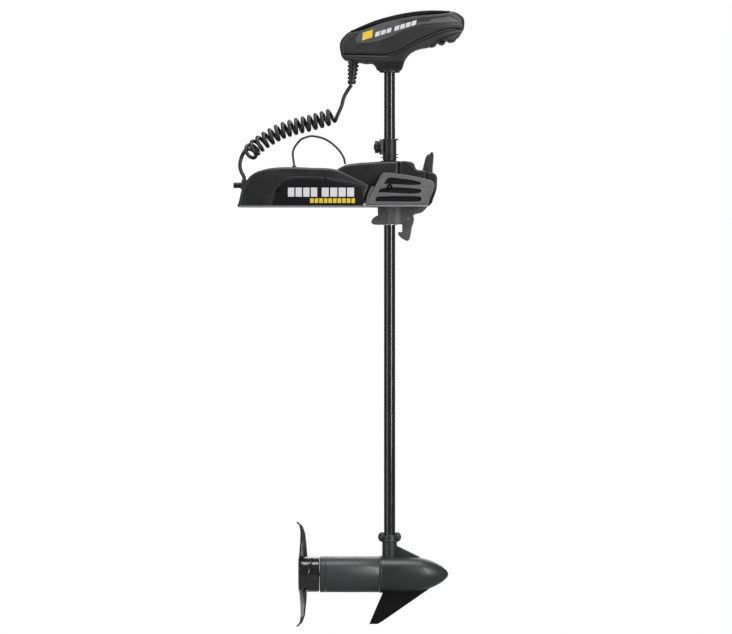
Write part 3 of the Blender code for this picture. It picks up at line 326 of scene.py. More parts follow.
# The frame's bolts take the near-black bolt finish, which is partly painted shade of their recessed
# holes.
for name in ("plate_bolt_right", "plate_bolt_left", "clamp_bolt_1", "clamp_bolt_2"):
    frame["nodes"][name].data.materials[0] = BOLT_BLACK_AND_HOLE_SHADE
print("finishes made:", len(FINISHES) + 3)

# %% [markdown]
# ## The coiled cord
# A curly cord is one round cord wound into a helix round a sagging line. Its line is
# smoothed through a few points, the turns are worked out by a loop, and the path is evened out
# near both ends of the coil so that the straight leads run into it without a kink.
# %% Coiled cord
CORD_R = 4.75 * MM
COIL_R = 22 * MM - CORD_R - 0.4 * MM
COIL_TURNS = 14.9
COIL_START = math.pi
POINTS_A_TURN = 18
LEAD_ROUTE = [(48, 0, 305.7), (36, 0, 288), (27.6, -2, 271), (24.4, -6, 256), (21, -11, 244),
              (15.6, -15, 236)]
COIL_ROUTE = [(6, 0, 229), (-24, 0, 219), (-59, 0, 209), (-94, 0, 200.5), (-129, 0, 189),
              (-158, 0, 173.5), (-182, 3, 157.5), (-199, 12, 143.5), (-211, 27, 131)]
TAIL_ROUTE = [(-227.6, 20.4, 127.6), (-231.2, 17.4, 118.6), (-232.4, 14, 109), (-231.4, 10.4, 99),
              (-228.2, 6, 89), (-223.6, 1.8, 80.6), (-221, 0, 74.4)]


def smooth_route(points, count):
    """Catmull-Rom curve through points in millimetres, read at count even lengths."""
    route = [Vector(p) * MM for p in points]
    ends = [2 * route[0] - route[1]] + route + [2 * route[-1] - route[-2]]
    line = []
    for a, b, c, d in zip(ends, ends[1:], ends[2:], ends[3:]):
        for i in range(24):
            t = i / 24
            line.append(0.5 * (2 * b + (c - a) * t + (2 * a - 5 * b + 4 * c - d) * t * t
                               + (3 * b - a - 3 * c + d) * t ** 3))
    line.append(route[-1])
    reach = [0.0]
    for p, q in zip(line, line[1:]):
        reach.append(reach[-1] + (q - p).length)
    spots = []
    k = 0
    for i in range(count + 1):
        want = reach[-1] * i / count
        while k < len(line) - 2 and reach[k + 1] < want:
            k += 1
        spots.append(line[k].lerp(line[k + 1], (want - reach[k]) / (reach[k + 1] - reach[k])))
    return spots


def path_length(path):
    """The length of a path through its points."""
    return sum((q - p).length for p, q in zip(path, path[1:]))


def wound(route, turns, first, radius):
    """A helix round the smoothed route, for a number of turns from a first angle in radians."""
    count = round(turns * POINTS_A_TURN)
    middle = smooth_route(route, count)
    up = Vector((0, 0, 1))
    spots = []
    for i, spot in enumerate(middle):
        ahead = (middle[min(i + 1, count)] - middle[max(i - 1, 0)]).normalized()
        up = (up - ahead * up.dot(ahead)).normalized()
        turn = first + 2 * math.pi * i / POINTS_A_TURN
        spots.append(spot + (up * math.sin(turn) + ahead.cross(up) * math.cos(turn)) * radius)
    return spots


def relaxed(path, places, reach, passes):
    """Even out the corners of a path near each place, and less and less further from it."""
    spots = [p.copy() for p in path]
    for _ in range(passes):
        old = [p.copy() for p in spots]
        for at in places:
            for i in range(at - reach + 1, at + reach):
                ease = 0.5 * (1 - abs(i - at) / reach) ** 2
                if 2 < i < len(path) - 3:
                    spots[i] = old[i].lerp((old[i - 1] + old[i + 1]) / 2, ease)
    return spots


def tube_mesh(name, path, radius, sides, finish_slot):
    """A mesh tube along a path, made as a bevelled curve and then converted."""
    data = bpy.data.curves.new(name, "CURVE")
    data.dimensions = "3D"
    data.bevel_depth = radius
    data.bevel_resolution = (sides - 4) // 4 + 1
    data.use_fill_caps = True
    line = data.splines.new("POLY")
    line.points.add(len(path) - 1)
    for point, spot in zip(line.points, path):
        point.co = (*spot, 1)
    piece = bpy.data.objects.new(name, data)
    bpy.context.scene.collection.objects.link(piece)
    clear_selection()
    piece.select_set(True)
    bpy.context.view_layer.objects.active = piece
    bpy.ops.object.convert(target="MESH")
    piece = bpy.context.object
    bpy.ops.object.shade_smooth()
    piece.data.materials.clear()
    piece.data.materials.append(FINISHES[finish_slot])
    clear_selection()
    return piece


lead = smooth_route(LEAD_ROUTE, 17)
tail = smooth_route(TAIL_ROUTE, 12) + [Vector((-0.2202, 0, 0.067)), Vector((-0.2196, 0, 0.059))]
winding = wound(COIL_ROUTE, COIL_TURNS, COIL_START, COIL_R)
coil_path = relaxed(lead + winding + tail, (len(lead), len(lead) + len(winding)), 9, 30)
coil_cord = tube_mesh("coiled_cord", coil_path, CORD_R, 12, "rubber")
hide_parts("cord_lead", "cord_coil", "cord_tail")
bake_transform(coil_cord)

# %% [markdown]
# ## The arched cable
# A short stiff lead loops from the base to the drive housing, so that the drive can fold. Here
# it is one fixed tube, attached to neither body.
# %% Arched cable
ARCH_R = 2.75 * MM
ARCH_ROUTE = [(-95, -36, 103.4), (-98, -36, 138), (-82, -36, 164), (-66, -36, 173),
              (-47, -36, 176), (-15, -36, 167), (13, -36, 145), (28, -36, 123), (32, -36, 106)]
arch_path = smooth_route(ARCH_ROUTE, 48)
arch_cable = tube_mesh("arched_cable", arch_path, ARCH_R, 12, "rubber")
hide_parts("arch_cable")
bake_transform(arch_cable)
print("arched cable, metres:", round(path_length(arch_path), 3))

# %% [markdown]
# ## Moulded outlines
# Most casings here are a side outline with soft edges. A filled flat curve gives one: it is
# extruded by half the casing's width and bevelled inwards, so the edge is truly round. It is
# then stood up, made a mesh, and narrowed where the real casing tapers.
# %% Helper for moulded outlines
def stand_up(piece):
    """Turn a flat outline up into the (x, z) plane."""
    piece.data.transform(Matrix.Rotation(math.radians(90), 4, "X"))


def settle(piece, body, finish_slot, replaced=(), smooth=40, finish_made=None):
    """Smooth, finish and hand a piece to the body that it rides on."""
    clear_selection()
    piece.select_set(True)
    bpy.context.view_layer.objects.active = piece
    bpy.ops.object.shade_smooth_by_angle(angle=math.radians(smooth))
    piece.data.materials.clear()
    piece.data.materials.append(finish_made or FINISHES[finish_slot])
    if replaced:
        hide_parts(*replaced)
    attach(piece, body)
    clear_selection()
    return piece


def moulded(name, outline, y_low, y_high, edge, rounded=(), steps=5):
    """A casing from an (x, z) outline in mm, with round edges; rounded corners are smooth."""
    data = bpy.data.curves.new(name, "CURVE")
    data.dimensions = "2D"
    data.fill_mode = "BOTH"
    data.extrude = max((y_high - y_low) / 2 - edge, 0.05 * MM)
    data.bevel_depth = edge
    data.offset = -edge
    data.bevel_resolution = steps
    data.resolution_u = 10
    line = data.splines.new("BEZIER")
    line.bezier_points.add(len(outline) - 1)
    line.use_cyclic_u = True
    for index, (x, z) in enumerate(outline):
        point = line.bezier_points[index]
        point.co = (x * MM, z * MM, 0)
        kind = "AUTO" if index in rounded else "VECTOR"
        point.handle_left_type = kind
        point.handle_right_type = kind
    piece = bpy.data.objects.new(name, data)
    bpy.context.scene.collection.objects.link(piece)
    clear_selection()
    piece.select_set(True)
    bpy.context.view_layer.objects.active = piece
    bpy.ops.object.convert(target="MESH")
    piece = bpy.context.object
    stand_up(piece)
    piece.data.transform(Matrix.Translation((0, (y_low + y_high) / 2, 0)))
    bpy.ops.object.mode_set(mode="EDIT")
    bpy.ops.mesh.select_all(action="SELECT")
    bpy.ops.mesh.remove_doubles(threshold=0.00002)
    bpy.ops.mesh.normals_make_consistent(inside=False)
    bpy.ops.object.mode_set(mode="OBJECT")
    return piece


def joined(piece, other, operation="UNION"):
    """Boolean another piece into this one, and remove the other."""
    step = piece.modifiers.new("joined", "BOOLEAN")
    step.operation = operation
    step.object = other
    clear_selection()
    bpy.context.view_layer.objects.active = piece
    bpy.ops.object.modifier_apply(modifier=step.name)
    bpy.data.objects.remove(other, do_unlink=True)
    return piece


SIDES = (("right", -1), ("left", 1))


def side_span(sign, inner_mm, outer_mm):
    """The low and the high y, in metres, of a slab on the right (-1) or left (1) side."""
    return sorted((sign * inner_mm * MM, sign * outer_mm * MM))


def upright(piece):
    """Leave a piece on a straight side as it is."""
    return piece


def hollowed(piece, low, high):
    """Cut a box, given by two corners in millimetres, out of a piece."""
    middle = [(a + b) / 2 * MM for a, b in zip(low, high)]
    bpy.ops.mesh.primitive_cube_add(size=1, location=middle)
    cutter = bpy.context.object
    cutter.scale = [(b - a) * MM for a, b in zip(low, high)]
    bpy.ops.object.transform_apply(location=True, rotation=True, scale=True)
    step = piece.modifiers.new("room", "BOOLEAN")
    step.operation = "DIFFERENCE"
    step.object = cutter
    bpy.context.view_layer.objects.active = piece
    bpy.ops.object.modifier_apply(modifier=step.name)
    bpy.data.objects.remove(cutter, do_unlink=True)
    return piece


def lathe(name, profile, axis, centre, steps=96):
    """Spin (radius, along) points in mm about an axis through a centre, by the spin tool."""
    mesh = bpy.data.meshes.new(name)
    points = [(r, 0, a) if axis == "Z" else (a, 0, r) for r, a in profile]
    verts = [Vector(p) * MM + Vector(centre) for p in points]
    mesh.from_pydata(verts, [(i, i + 1) for i in range(len(verts) - 1)], [])
    piece = bpy.data.objects.new(name, mesh)
    bpy.context.scene.collection.objects.link(piece)
    clear_selection()
    piece.select_set(True)
    bpy.context.view_layer.objects.active = piece
    bpy.ops.object.mode_set(mode="EDIT")
    bpy.ops.mesh.select_all(action="SELECT")
    about = (0, 0, 1) if axis == "Z" else (1, 0, 0)
    bpy.ops.mesh.spin(steps=steps, angle=2 * math.pi, center=centre, axis=about)
    bpy.ops.mesh.select_all(action="SELECT")
    bpy.ops.mesh.remove_doubles(threshold=0.00001)
    bpy.ops.mesh.normals_make_consistent(inside=False)
    bpy.ops.object.mode_set(mode="OBJECT")
    return piece


# %% [markdown]
# ## Lower unit
# The motor's casing is turned: a can, a rear cap with a fine seam, and a cast nose that
# narrows to a blunt point. Enough steps make the long highlight along it run clean.
# %% Motor can, caps and nose
can_low, can_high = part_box("motor_can")
cap_low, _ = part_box("rear_end_cap")
_, nose_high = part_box("nose_housing")
MOTOR_CENTRE = (0, 0, (can_low.z + can_high.z) / 2)
MOTOR_R = (can_high.z - can_low.z) / 2 / MM
SHAFT_MM = (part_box("shaft_tube")[0].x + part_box("shaft_tube")[1].x) / 2 / MM
SHAFT_POINT = (SHAFT_MM * MM, 0, 0)
rear, front = cap_low.x / MM, can_high.x / MM
tip = nose_high.x / MM
seam = can_low.x / MM
can = lathe("motor_casing", [(41, seam + 0.2), (MOTOR_R - 0.6, seam + 0.2), (MOTOR_R, seam + 0.9),
                             (MOTOR_R, front - 0.9), (MOTOR_R - 0.6, front - 0.1),
                             (41, front - 0.1)], "X", MOTOR_CENTRE)
settle(can, "shaft", "motor_paint", ["motor_can"])
cap = lathe("motor_rear_cap", [(5.5, rear + 0.3), (30, rear), (MOTOR_R - 2.4, rear + 0.2),
                               (MOTOR_R - 0.6, rear + 0.9), (MOTOR_R, rear + 2.4),
                               (MOTOR_R, seam - 1.0), (MOTOR_R - 0.7, seam - 0.3),
                               (5.5, seam - 0.3)], "X", MOTOR_CENTRE)
settle(cap, "shaft", "motor_paint", ["rear_end_cap"])
nose_profile = [(41, front + 0.1), (MOTOR_R + 1.6, front + 0.3), (MOTOR_R + 2, front + 1.0),
                (MOTOR_R + 2, front + 4.4), (MOTOR_R + 1.4, front + 5.2),
                (MOTOR_R + 1.2, front + 6)]
NOSE_STATIONS = [(0, 46.4), (26, 46.2), (52, 45.8), (78, 44.4), (105.5, 40.8), (124.6, 35.6),
                 (140.6, 28.8), (154, 21), (162, 15), (168, 9.2), (171, 4.8), (172.4, 0)]
nose_share = (tip - front) / 172.4
nose_line = smooth_route([(along, 0, r) for along, r in NOSE_STATIONS], 60)
nose_profile += [(max(0.0, p.z / MM), front + p.x / MM * nose_share) for p in nose_line[3:]]
nose_profile[-1] = (0, tip)
nose = lathe("nose_casting", nose_profile, "X", MOTOR_CENTRE)
neck_top = -838
neck = lathe("neck_casting", [(0, -905), (18.5, -905), (18.5, neck_top - 0.8), (17.8, neck_top),
                              (0, neck_top)], "Z", SHAFT_POINT)
web = moulded("neck_web", [(SHAFT_MM + 8, -842), (SHAFT_MM + 19, -847), (SHAFT_MM + 73, -873),
                           (SHAFT_MM + 92, -890), (SHAFT_MM + 8, -900)], -4 * MM, 4 * MM, 2.5 * MM)
for part in (neck, web):
    joined(nose, part)
settle(nose, "shaft", "motor_paint", ["nose_housing"], 35)
skeg = moulded("skeg_fin", [(SHAFT_MM - 16, -961), (SHAFT_MM + 60, -955), (SHAFT_MM + 109, -945),
                            (SHAFT_MM + 100, -954), (SHAFT_MM - 17, -1035),
                            (SHAFT_MM - 30, -1042.6), (SHAFT_MM - 51, -1042.6)],
               -3.2 * MM, 3.2 * MM, 2.2 * MM)
settle(skeg, "shaft", "panel_black", ["skeg"])

# %% [markdown]
# ## Propeller
# A weed-shedding blade is wide, thin and swept back. Each one starts as a grid, which is laid
# out from the hub to the tip with its pitch easing off, then given its thickness.
# %% Propeller
BLADE = [(0.28, 46, 0.0, 25, -41), (0.45, 62, 1.0, 15, -41), (0.64, 68, 4.0, 10, -41),
         (0.82, 60, 9.0, 8.0, -42), (0.93, 46, 15.0, 7.0, -46), (1.0, 26, 20.0, 6, -57)]
BLADE_REACH = 131


def between(share, column):
    """A blade measure at a share of its reach, eased between the named stations."""
    for low, high in zip(BLADE, BLADE[1:]):
        if share <= high[0]:
            t = (share - low[0]) / (high[0] - low[0])
            return low[column] + (high[column] - low[column]) * t
    return BLADE[-1][column]


def make_blade(side):
    """One blade, on the upper (1) or lower (-1) side of the hub."""
    bpy.ops.mesh.primitive_grid_add(x_subdivisions=16, y_subdivisions=44, size=2)
    blade = bpy.context.object
    for vertex in blade.data.vertices:
        across = vertex.co.x
        share = BLADE[0][0] + (1 - BLADE[0][0]) * (vertex.co.y + 1) / 2
        round_tip = math.sqrt(max(0.02, 1 - max(0, (share - 0.86) / 0.14) ** 2.4))
        u = across * between(share, 1) / 2 * round_tip
        pitch = math.radians(between(share, 3))
        x = rear + between(share, 4) + u * math.sin(pitch)
        y = u * math.cos(pitch) + between(share, 2)
        z = math.sqrt(max(0.0, (share * BLADE_REACH) ** 2 - y * y))
        vertex.co = Vector((x * MM, side * y * MM, MOTOR_CENTRE[2] + side * z * MM))
    wall = blade.modifiers.new("wall", "SOLIDIFY")
    wall.thickness = 3.4 * MM
    wall.offset = 0
    soft = blade.modifiers.new("soft", "BEVEL")
    soft.width = 1.3 * MM
    soft.segments = 3
    soft.limit_method = "ANGLE"
    for step in (wall.name, soft.name):
        bpy.ops.object.modifier_apply(modifier=step)
    return blade


hub_front, hub_back = rear - 0.9, rear - 53
hub = lathe("propeller_hub", [(5.3, hub_front), (41.5, hub_front), (43.6, hub_front - 1.6),
                              (44, hub_front - 4), (44, hub_back + 6), (42.6, hub_back + 2),
                              (39.5, hub_back), (16, hub_back), (16, hub_back + 14),
                              (5.3, hub_back + 14), (5.3, hub_front)], "X", MOTOR_CENTRE)
for side in (1, -1):
    joined(hub, make_blade(side))
for side in (1, -1):
    crest = []
    for i in range(25):
        t = i / 24
        about = math.radians(-62 + 124 * t)
        along = hub_back + 12 + 22 * t
        crest.append(Vector((along, -side * 43.6 * math.cos(about),
                             MOTOR_CENTRE[2] / MM + 43.6 * side * math.sin(about))) * MM)
    ridge_line = tube_mesh("root", crest, 4.2 * MM, 12, "gloss_black")
    joined(hub, ridge_line)
settle(hub, "prop", "gloss_black", ["propeller"], 35)
print("lower unit made")

# %% [markdown]
# ## Shaft, clamp and depth collar
# The shaft is a drawn tube, so it is turned with a small chamfer at each end. The collar's
# ridges and the knob's lobes are what a hand holds, and both keep their moulded roundness.
# %% Shaft and clamp
shaft_low, shaft_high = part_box("shaft_tube")
SHAFT_R = (shaft_high.x - shaft_low.x) / 2 / MM
shaft_foot, shaft_head = shaft_low.z / MM, shaft_high.z / MM
shaft = lathe("shaft_skin", [(SHAFT_R - 2.5, shaft_foot), (SHAFT_R - 0.5, shaft_foot),
                             (SHAFT_R, shaft_foot + 0.5), (SHAFT_R, shaft_head - 0.5),
                             (SHAFT_R - 0.5, shaft_head), (SHAFT_R - 2.5, shaft_head),
                             (SHAFT_R - 2.5, shaft_foot)], "Z", SHAFT_POINT)
settle(shaft, "shaft", "gloss_black", ["shaft_tube"])


def beside(x):
    """An x in mm that is given from the shaft's axis."""
    return SHAFT_MM + x


def from_shaft(outline):
    """An (x, z) outline that is given from the shaft's axis."""
    return [(beside(x), z) for x, z in outline]


clamp_low, clamp_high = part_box("clamp_ring")
z0, z1 = clamp_low.z / MM, clamp_high.z / MM
clamp = lathe("shaft_clamp", [(SHAFT_R + 0.3, z0), (20.4, z0), (20.8, z0 + 0.6), (20.8, z0 + 3),
                              (19.6, z0 + 4), (18.6, z0 + 8), (18.6, z1 - 6), (17.4, z1 - 5),
                              (SHAFT_R + 0.3, z1 - 5), (SHAFT_R + 0.3, z0)], "Z", SHAFT_POINT)
middle = (z0 + z1) / 2 + 1.6
for side in (-1, 1):
    lug_round = [(10.2 * math.sin(math.pi * i / 16), middle - 12.2 * math.cos(math.pi * i / 16))
                 for i in range(17)]
    joined(clamp, lathe("lug", lug_round, "Z", (beside(side * 18.8) * MM, 0, 0), 40))
bore = lathe("bore", [(0, z0 - 5), (SHAFT_R + 0.3, z0 - 5), (SHAFT_R + 0.3, z1 + 9), (0, z1 + 9)],
             "Z", SHAFT_POINT)
joined(clamp, bore, "DIFFERENCE")
settle(clamp, "shaft", "motor_paint", ["clamp_ring"], 35)
# The clamp's screws take the near-black bolt finish, which is partly painted shade of the recesses they
# sit in.
for index, side in enumerate((-1, 1)):
    screw = lathe(f"clamp_screw_{index + 1}", [(0, -10.2), (1.4, -10.2), (1.7, -11.2),
                                               (2.8, -11.4), (3.4, -10.8), (3.4, -4), (0, -4)],
                  "Y", (beside(side * 15) * MM, 0, (middle - 5.4) * MM), 32)
    settle(screw, "shaft", "steel", [f"clamp_bolt_{index + 1}"], 40, BOLT_BLACK_AND_HOLE_SHADE)

# %% Depth collar and knob
collar_low, collar_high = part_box("depth_collar")
z0, z1 = collar_low.z / MM, collar_high.z / MM


def ridge(r_low, r_high, z, thick):
    """One moulded ridge of a turned sleeve, from its foot to its foot."""
    return [(r_low, z), (r_high - 0.4, z), (r_high, z + 0.4), (r_high, z + thick - 0.4),
            (r_high - 0.4, z + thick), (r_low, z + thick)]


sleeve = [(SHAFT_R + 0.15, z0), (16, z0), (17, z0 + 1)] + ridge(17, 22, z0 + 7, 2)
sleeve += ridge(17, 22, z0 + 14, 2) + ridge(17, 22, z1 - 3, 3)[:-1]
sleeve += [(SHAFT_R + 0.15, z1), (SHAFT_R + 0.15, z0)]
collar = lathe("depth_sleeve", sleeve, "Z", SHAFT_POINT)
hollowed(collar, (beside(-32), -26, z0 + 12), (beside(-18.4), 26, z1 + 3))
pad = moulded("pad", [(beside(-18.6), 133), (beside(-18.6), 167.5), (beside(-15), 169),
                      (beside(-14.6), 131)], -12 * MM, 12 * MM, 1 * MM, (), 3)
joined(collar, pad)
settle(collar, "collar", "cover_black", ["depth_collar"], 35)
knob_low, knob_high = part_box("collar_knob")
KNOB_POINT = (0, 0, (knob_low.z + knob_high.z) / 2)
end = knob_low.x / MM
LOBES = 8
knob = lathe("clamp_knob", [(0, end), (6, end), (7.6, end + 1), (8.4, end + 2.4), (14.6, end + 2.6),
                            (16, end + 4), (16, end + 11.4), (14, end + 12.6), (12, end + 13.4),
                            (18.4, end + 14), (19.8, end + 15), (19.8, end + 19),
                            (18.6, end + 20.5), (0, end + 20.5)], "X", KNOB_POINT, 96)
for vertex in knob.data.vertices:
    away = Vector((vertex.co.y, vertex.co.z - KNOB_POINT[2]))
    if away.length > 11 * MM:
        dent = 0.5 + 0.5 * math.cos(LOBES * math.atan2(away.y, away.x))
        away *= 1 - 0.08 * dent ** 2
        vertex.co.y, vertex.co.z = away.x, away.y + KNOB_POINT[2]
settle(knob, "knob", "cover_black", ["collar_knob"], 35)

# %% [markdown]
# ## Control head
# The head is two shells that meet at a lip, a polished strip along its crown, and a ribbed
# finger grip. Its sides lean in towards the bottom, as a moulding has to, to leave its tool.
# %% Head shells
_, head_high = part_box("head_upper_shell")
HALF = head_high.y / MM


def narrowed(piece, z_low, z_high, low_share, x_end=None, end_share=1.0, reach=60):
    """Narrow a casing across its width towards its foot, and towards one end if asked."""
    for vertex in piece.data.vertices:
        t = min(1.0, max(0.0, (vertex.co.z / MM - z_low) / (z_high - z_low)))
        t = t * t * (3 - 2 * t)
        vertex.co.y *= low_share + (1 - low_share) * t
        if x_end is not None:
            near = max(0.0, 1 - abs(vertex.co.x / MM - x_end) / reach)
            vertex.co.y *= 1 - (1 - end_share) * near * near
    return piece


def head_shape(piece):
    """Lean the head's sides in towards the foot and round off both of its ends."""
    narrowed(piece, 350, 450, 0.90, beside(-125), 0.92)
    return narrowed(piece, 0, 1, 1, beside(187), 0.80)


def offset_line(line, deepest):
    """A line under another in the (x, z) plane that meets it at both ends, as a crescent."""
    out = []
    for index, (x, z) in enumerate(line):
        share = math.sin(math.pi * index / (len(line) - 1)) ** 0.7
        out.append((x + 0.25 * deepest * share, z - deepest * share))
    return out


CROWN = [(-98, 437), (-80, 445.4), (-58, 455), (-35, 464), (-6, 472.6), (24, 479.6), (55, 485),
         (93, 488.6), (128, 488.6), (150, 487)]
LIP = [(-121, 379), (-60, 378), (0, 378), (14, 380.4), (28, 387), (42, 395.6), (60, 405.6),
       (80, 415), (105, 426.4), (131, 435.8), (148, 439.4), (165, 441.6), (184.6, 442)]
UNDER = offset_line(CROWN, 10.4)
upper_edge = ([(-124.3, 396), (-122.8, 411), (-111, 427.6)] + UNDER
              + [(164, 485), (175, 479), (184, 470.6), (186.6, 455)] + LIP[::-1])
upper = moulded("head_upper", from_shaft(upper_edge), -HALF * MM, HALF * MM,
                11 * MM, set(range(17)) | set(range(18, 30)) - {29}, 7)
settle(head_shape(upper), "shaft", "head_grey", ["head_upper_shell"], 50)
strip_edge = CROWN + [(x, z + 0.5) for x, z in UNDER[-2:0:-1]]
strip = moulded("head_gloss_strip", from_shaft(strip_edge), -(HALF - 0.8) * MM,
                (HALF - 0.8) * MM, 1.6 * MM, set(range(1, 9)) | set(range(10, 18)), 5)
settle(head_shape(strip), "shaft", "gloss_black", ["head_top_strip"], 50)
lower_edge = [(-120.4, 378.4), (-113, 369), (-105, 366), (-73, 361), (-58, 358.4), (-42, 358),
              (-36, 352), (-32, 344), (-26, 340), (26, 340), (31, 345), (35, 356), (38.6, 366),
              (46, 378), (56.6, 387.6), (75, 395.6), (100, 401), (108, 405.6), (120, 414.6),
              (140, 423), (160, 429), (176, 433), (183.4, 441)]
lower = moulded("head_lower", from_shaft(lower_edge)
                + from_shaft([(x, z - 0.4) for x, z in LIP[-2:0:-1]]), -(HALF - 0.6) * MM,
                (HALF - 0.6) * MM, 5 * MM, set(range(1, 22)) - {8, 9} | set(range(23, 34)), 6)
narrowed(lower, 340, 366, 0.5)
settle(head_shape(lower), "shaft", "head_grey", ["head_lower_shell"], 50)
neck_ring = lathe("head_neck", [(SHAFT_R + 0.4, 336), (24.4, 336), (25.6, 337.2), (25.4, 340.6),
                                (23.6, 342.6), (23.2, 352), (26, 366), (SHAFT_R + 0.4, 366),
                                (SHAFT_R + 0.4, 336)], "Z", SHAFT_POINT)
settle(neck_ring, "shaft", "head_grey", (), 40)
grip_edge = [(101, 400.6), (109, 400.4), (115, 403.4), (120.5, 409.6), (124, 407), (131, 405.4),
             (138, 408.6), (143, 415.4), (147, 412.4), (155, 412), (163, 415), (168, 421),
             (176, 428.6), (177, 434), (160, 430.6), (140, 424.6), (120, 416.6), (108, 408)]
grip = moulded("head_finger_grip", from_shaft(grip_edge), -(HALF - 7) * MM,
               (HALF - 7) * MM, 3.6 * MM, set(range(1, 18)) - {4, 8}, 6)
settle(head_shape(grip), "shaft", "rubber", ["head_grip"], 50)
for word, sign in SIDES:
    route = [(beside(x), sign * (HALF - 0.4), z) for x, z in LIP[2:-1]]
    bead = tube_mesh("head_lip_" + word, smooth_route(route, 70), 1.5 * MM, 12, "head_grey")
    head_shape(bead)
    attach(bead, "shaft")

# %% [markdown]
# Each side carries a paler inlay with plain printed marks. They are slabs a fraction of a
# millimetre proud, laid on the casing's side at the same lean.
# %% Head inlays and prints
INLAY_GREY = finish("moulded_inlay_grey", grey(0.060), grey(0.074), grey(0.12), (0.36, 0.46),
                    1000, 0.3)
inlay_edge = [(-84, 407.4), (-62, 407.6), (-40, 409.8), (-15, 416.4), (10, 427), (36, 439.6),
              (62, 449), (90, 454.4), (120, 457.6), (150, 459), (172, 459.6), (163, 468),
              (128, 477), (93, 477), (55, 473), (24, 467.6), (-6, 460.6), (-35, 451.6),
              (-58, 441.6), (-76, 430), (-85, 418)]


def on_both_sides(name, outline, depth, body, slot_name, made, lean, rounded=(), edge=0.2):
    """A thin slab on the right and left side, set at a half width in mm and then leant."""
    for word, sign in SIDES:
        inner, outer = side_span(sign, depth - 1.4, depth)
        slab = moulded(f"{name}_{word}", outline, inner, outer, edge * MM, rounded, 2)
        settle(lean(slab), body, slot_name, (), 40, made)


on_both_sides("head_inlay", from_shaft(inlay_edge), HALF + 0.3, "shaft",
              "head_grey", INLAY_GREY, head_shape, set(range(1, 10)) | set(range(11, 21)))
# %% Plain printed bars
def printed(name, shapes, depth, body, slot_name, made, lean):
    """Flat printed shapes on the right and left side, as one thin mesh a side."""
    for word, sign in SIDES:
        points, faces = [], []
        for shape in shapes:
            first, count = len(points), len(shape)
            for y in (sign * depth * MM, sign * (depth - 1) * MM):
                points += [(x * MM, y, z * MM) for x, z in shape]
            faces.append(tuple(range(first, first + count)))
            faces.append(tuple(range(first + 2 * count - 1, first + count - 1, -1)))
            faces += [(first + i, first + count + i, first + count + (i + 1) % count,
                       first + (i + 1) % count) for i in range(count)]
        data = bpy.data.meshes.new(f"{name}_{word}")
        data.from_pydata(points, [], faces)
        piece = bpy.data.objects.new(f"{name}_{word}", data)
        bpy.context.scene.collection.objects.link(piece)
        clear_selection()
        bpy.context.view_layer.objects.active = piece
        bpy.ops.object.mode_set(mode="EDIT")
        bpy.ops.mesh.select_all(action="SELECT")
        bpy.ops.mesh.normals_make_consistent(inside=False)
        bpy.ops.object.mode_set(mode="OBJECT")
        settle(lean(piece), body, slot_name, (), 20, made)


def bars(x_start, wide, gap, count, foot, tall, slope=0.0, skew=0.0):
    """Outlines of a row of equal upright bars, in mm, along a rising line."""
    out = []
    for index in range(count):
        left_end = x_start + index * (wide + gap)
        right_end = left_end + wide
        out.append([(left_end, foot + slope * (left_end - x_start)),
                    (left_end + skew, foot + tall + slope * (left_end - x_start)),
                    (right_end + skew, foot + tall + slope * (right_end - x_start)),
                    (right_end, foot + slope * (right_end - x_start))])
    return out


SLOPE = 0.30
head_bars = (bars(beside(-37), 11.5, 2.6, 3, 422.4, 11.6, SLOPE, 2.4)
             + bars(beside(11), 11.5, 2.6, 4, 436.8, 11.6, SLOPE, 2.4))
printed("head_pale_bars", head_bars, HALF + 0.7, "shaft", "head_grey", STRIPE_WHITE, head_shape)
printed("head_yellow_mark", bars(beside(-69), 25, 0, 1, 413.4, 20, SLOPE, 2.4), HALF + 0.7,
        "shaft", "head_grey", STRIPE_YELLOW, head_shape)

# %% Strain relief
relief_low, relief_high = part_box("strain_relief")
RELIEF_POINT = ((relief_low.x + relief_high.x) / 2, 0, 0)
z0 = relief_low.z / MM
boot = [(5.2, z0), (8.6, z0), (9.6, z0 + 1.2)]
for index in range(5):
    foot = z0 + 3.2 + 9.6 * index
    wide = 10.4 + 0.85 * index
    boot += [(wide - 0.6, foot), (wide, foot + 0.8), (wide + 0.4, foot + 5.4),
             (wide - 0.2, foot + 6.3), (wide - 2.6, foot + 6.6), (wide - 2.6, foot + 9.2)]
boot += [(13.6, z0 + 51.6), (13.8, z0 + 56), (5.2, z0 + 56), (5.2, z0)]
relief = lathe("cord_boot", boot, "Z", RELIEF_POINT, 64)
for vertex in relief.data.vertices:
    vertex.co.x += 0.09 * (vertex.co.z - relief_low.z)
settle(relief, "shaft", "rubber", ["strain_relief"], 40)
print("head made")

# %% [markdown]
# ## Deck base
# The long cover is one moulding with a generous edge. Its middle is open on top from the
# pivot forwards, because the drive folds back into it when the motor is stowed.
# %% Base cover
cover_low, cover_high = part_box("base_cover")
BASE_HALF = cover_high.y / MM
x0 = cover_low.x / MM
cover_edge = [(x0, 0.5), (x0 + 4, 13), (x0 + 12, 44), (x0 + 24, 66), (x0 + 41, 82),
              (x0 + 67, 92), (x0 + 88, 96), (-99, 98), (-54, 96.4), (9, 92), (50, 75.6),
              (93, 53), (81, 20), (79, 0.5)]
cover = moulded("base_cover_skin", cover_edge, -BASE_HALF * MM, BASE_HALF * MM, 8 * MM,
                {2, 3, 4, 5, 6, 7, 8, 9, 10}, 7)
room = moulded("room", [(x + 3 if x < 0 else x + 12, z - 3) for x, z in cover_edge],
               -(BASE_HALF - 3) * MM, (BASE_HALF - 3) * MM, 5 * MM, {2, 3, 4, 5, 6, 7, 8, 9}, 3)
joined(cover, room, "DIFFERENCE")
_, slot_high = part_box("drive_housing")
SLOT_HALF = slot_high.y / MM + 3
hollowed(cover, (-48, -SLOT_HALF, 5), (130, SLOT_HALF, 130))
hollowed(cover, (x0 - 5, -BASE_HALF - 5, -12), (130, BASE_HALF + 5, 0.6))
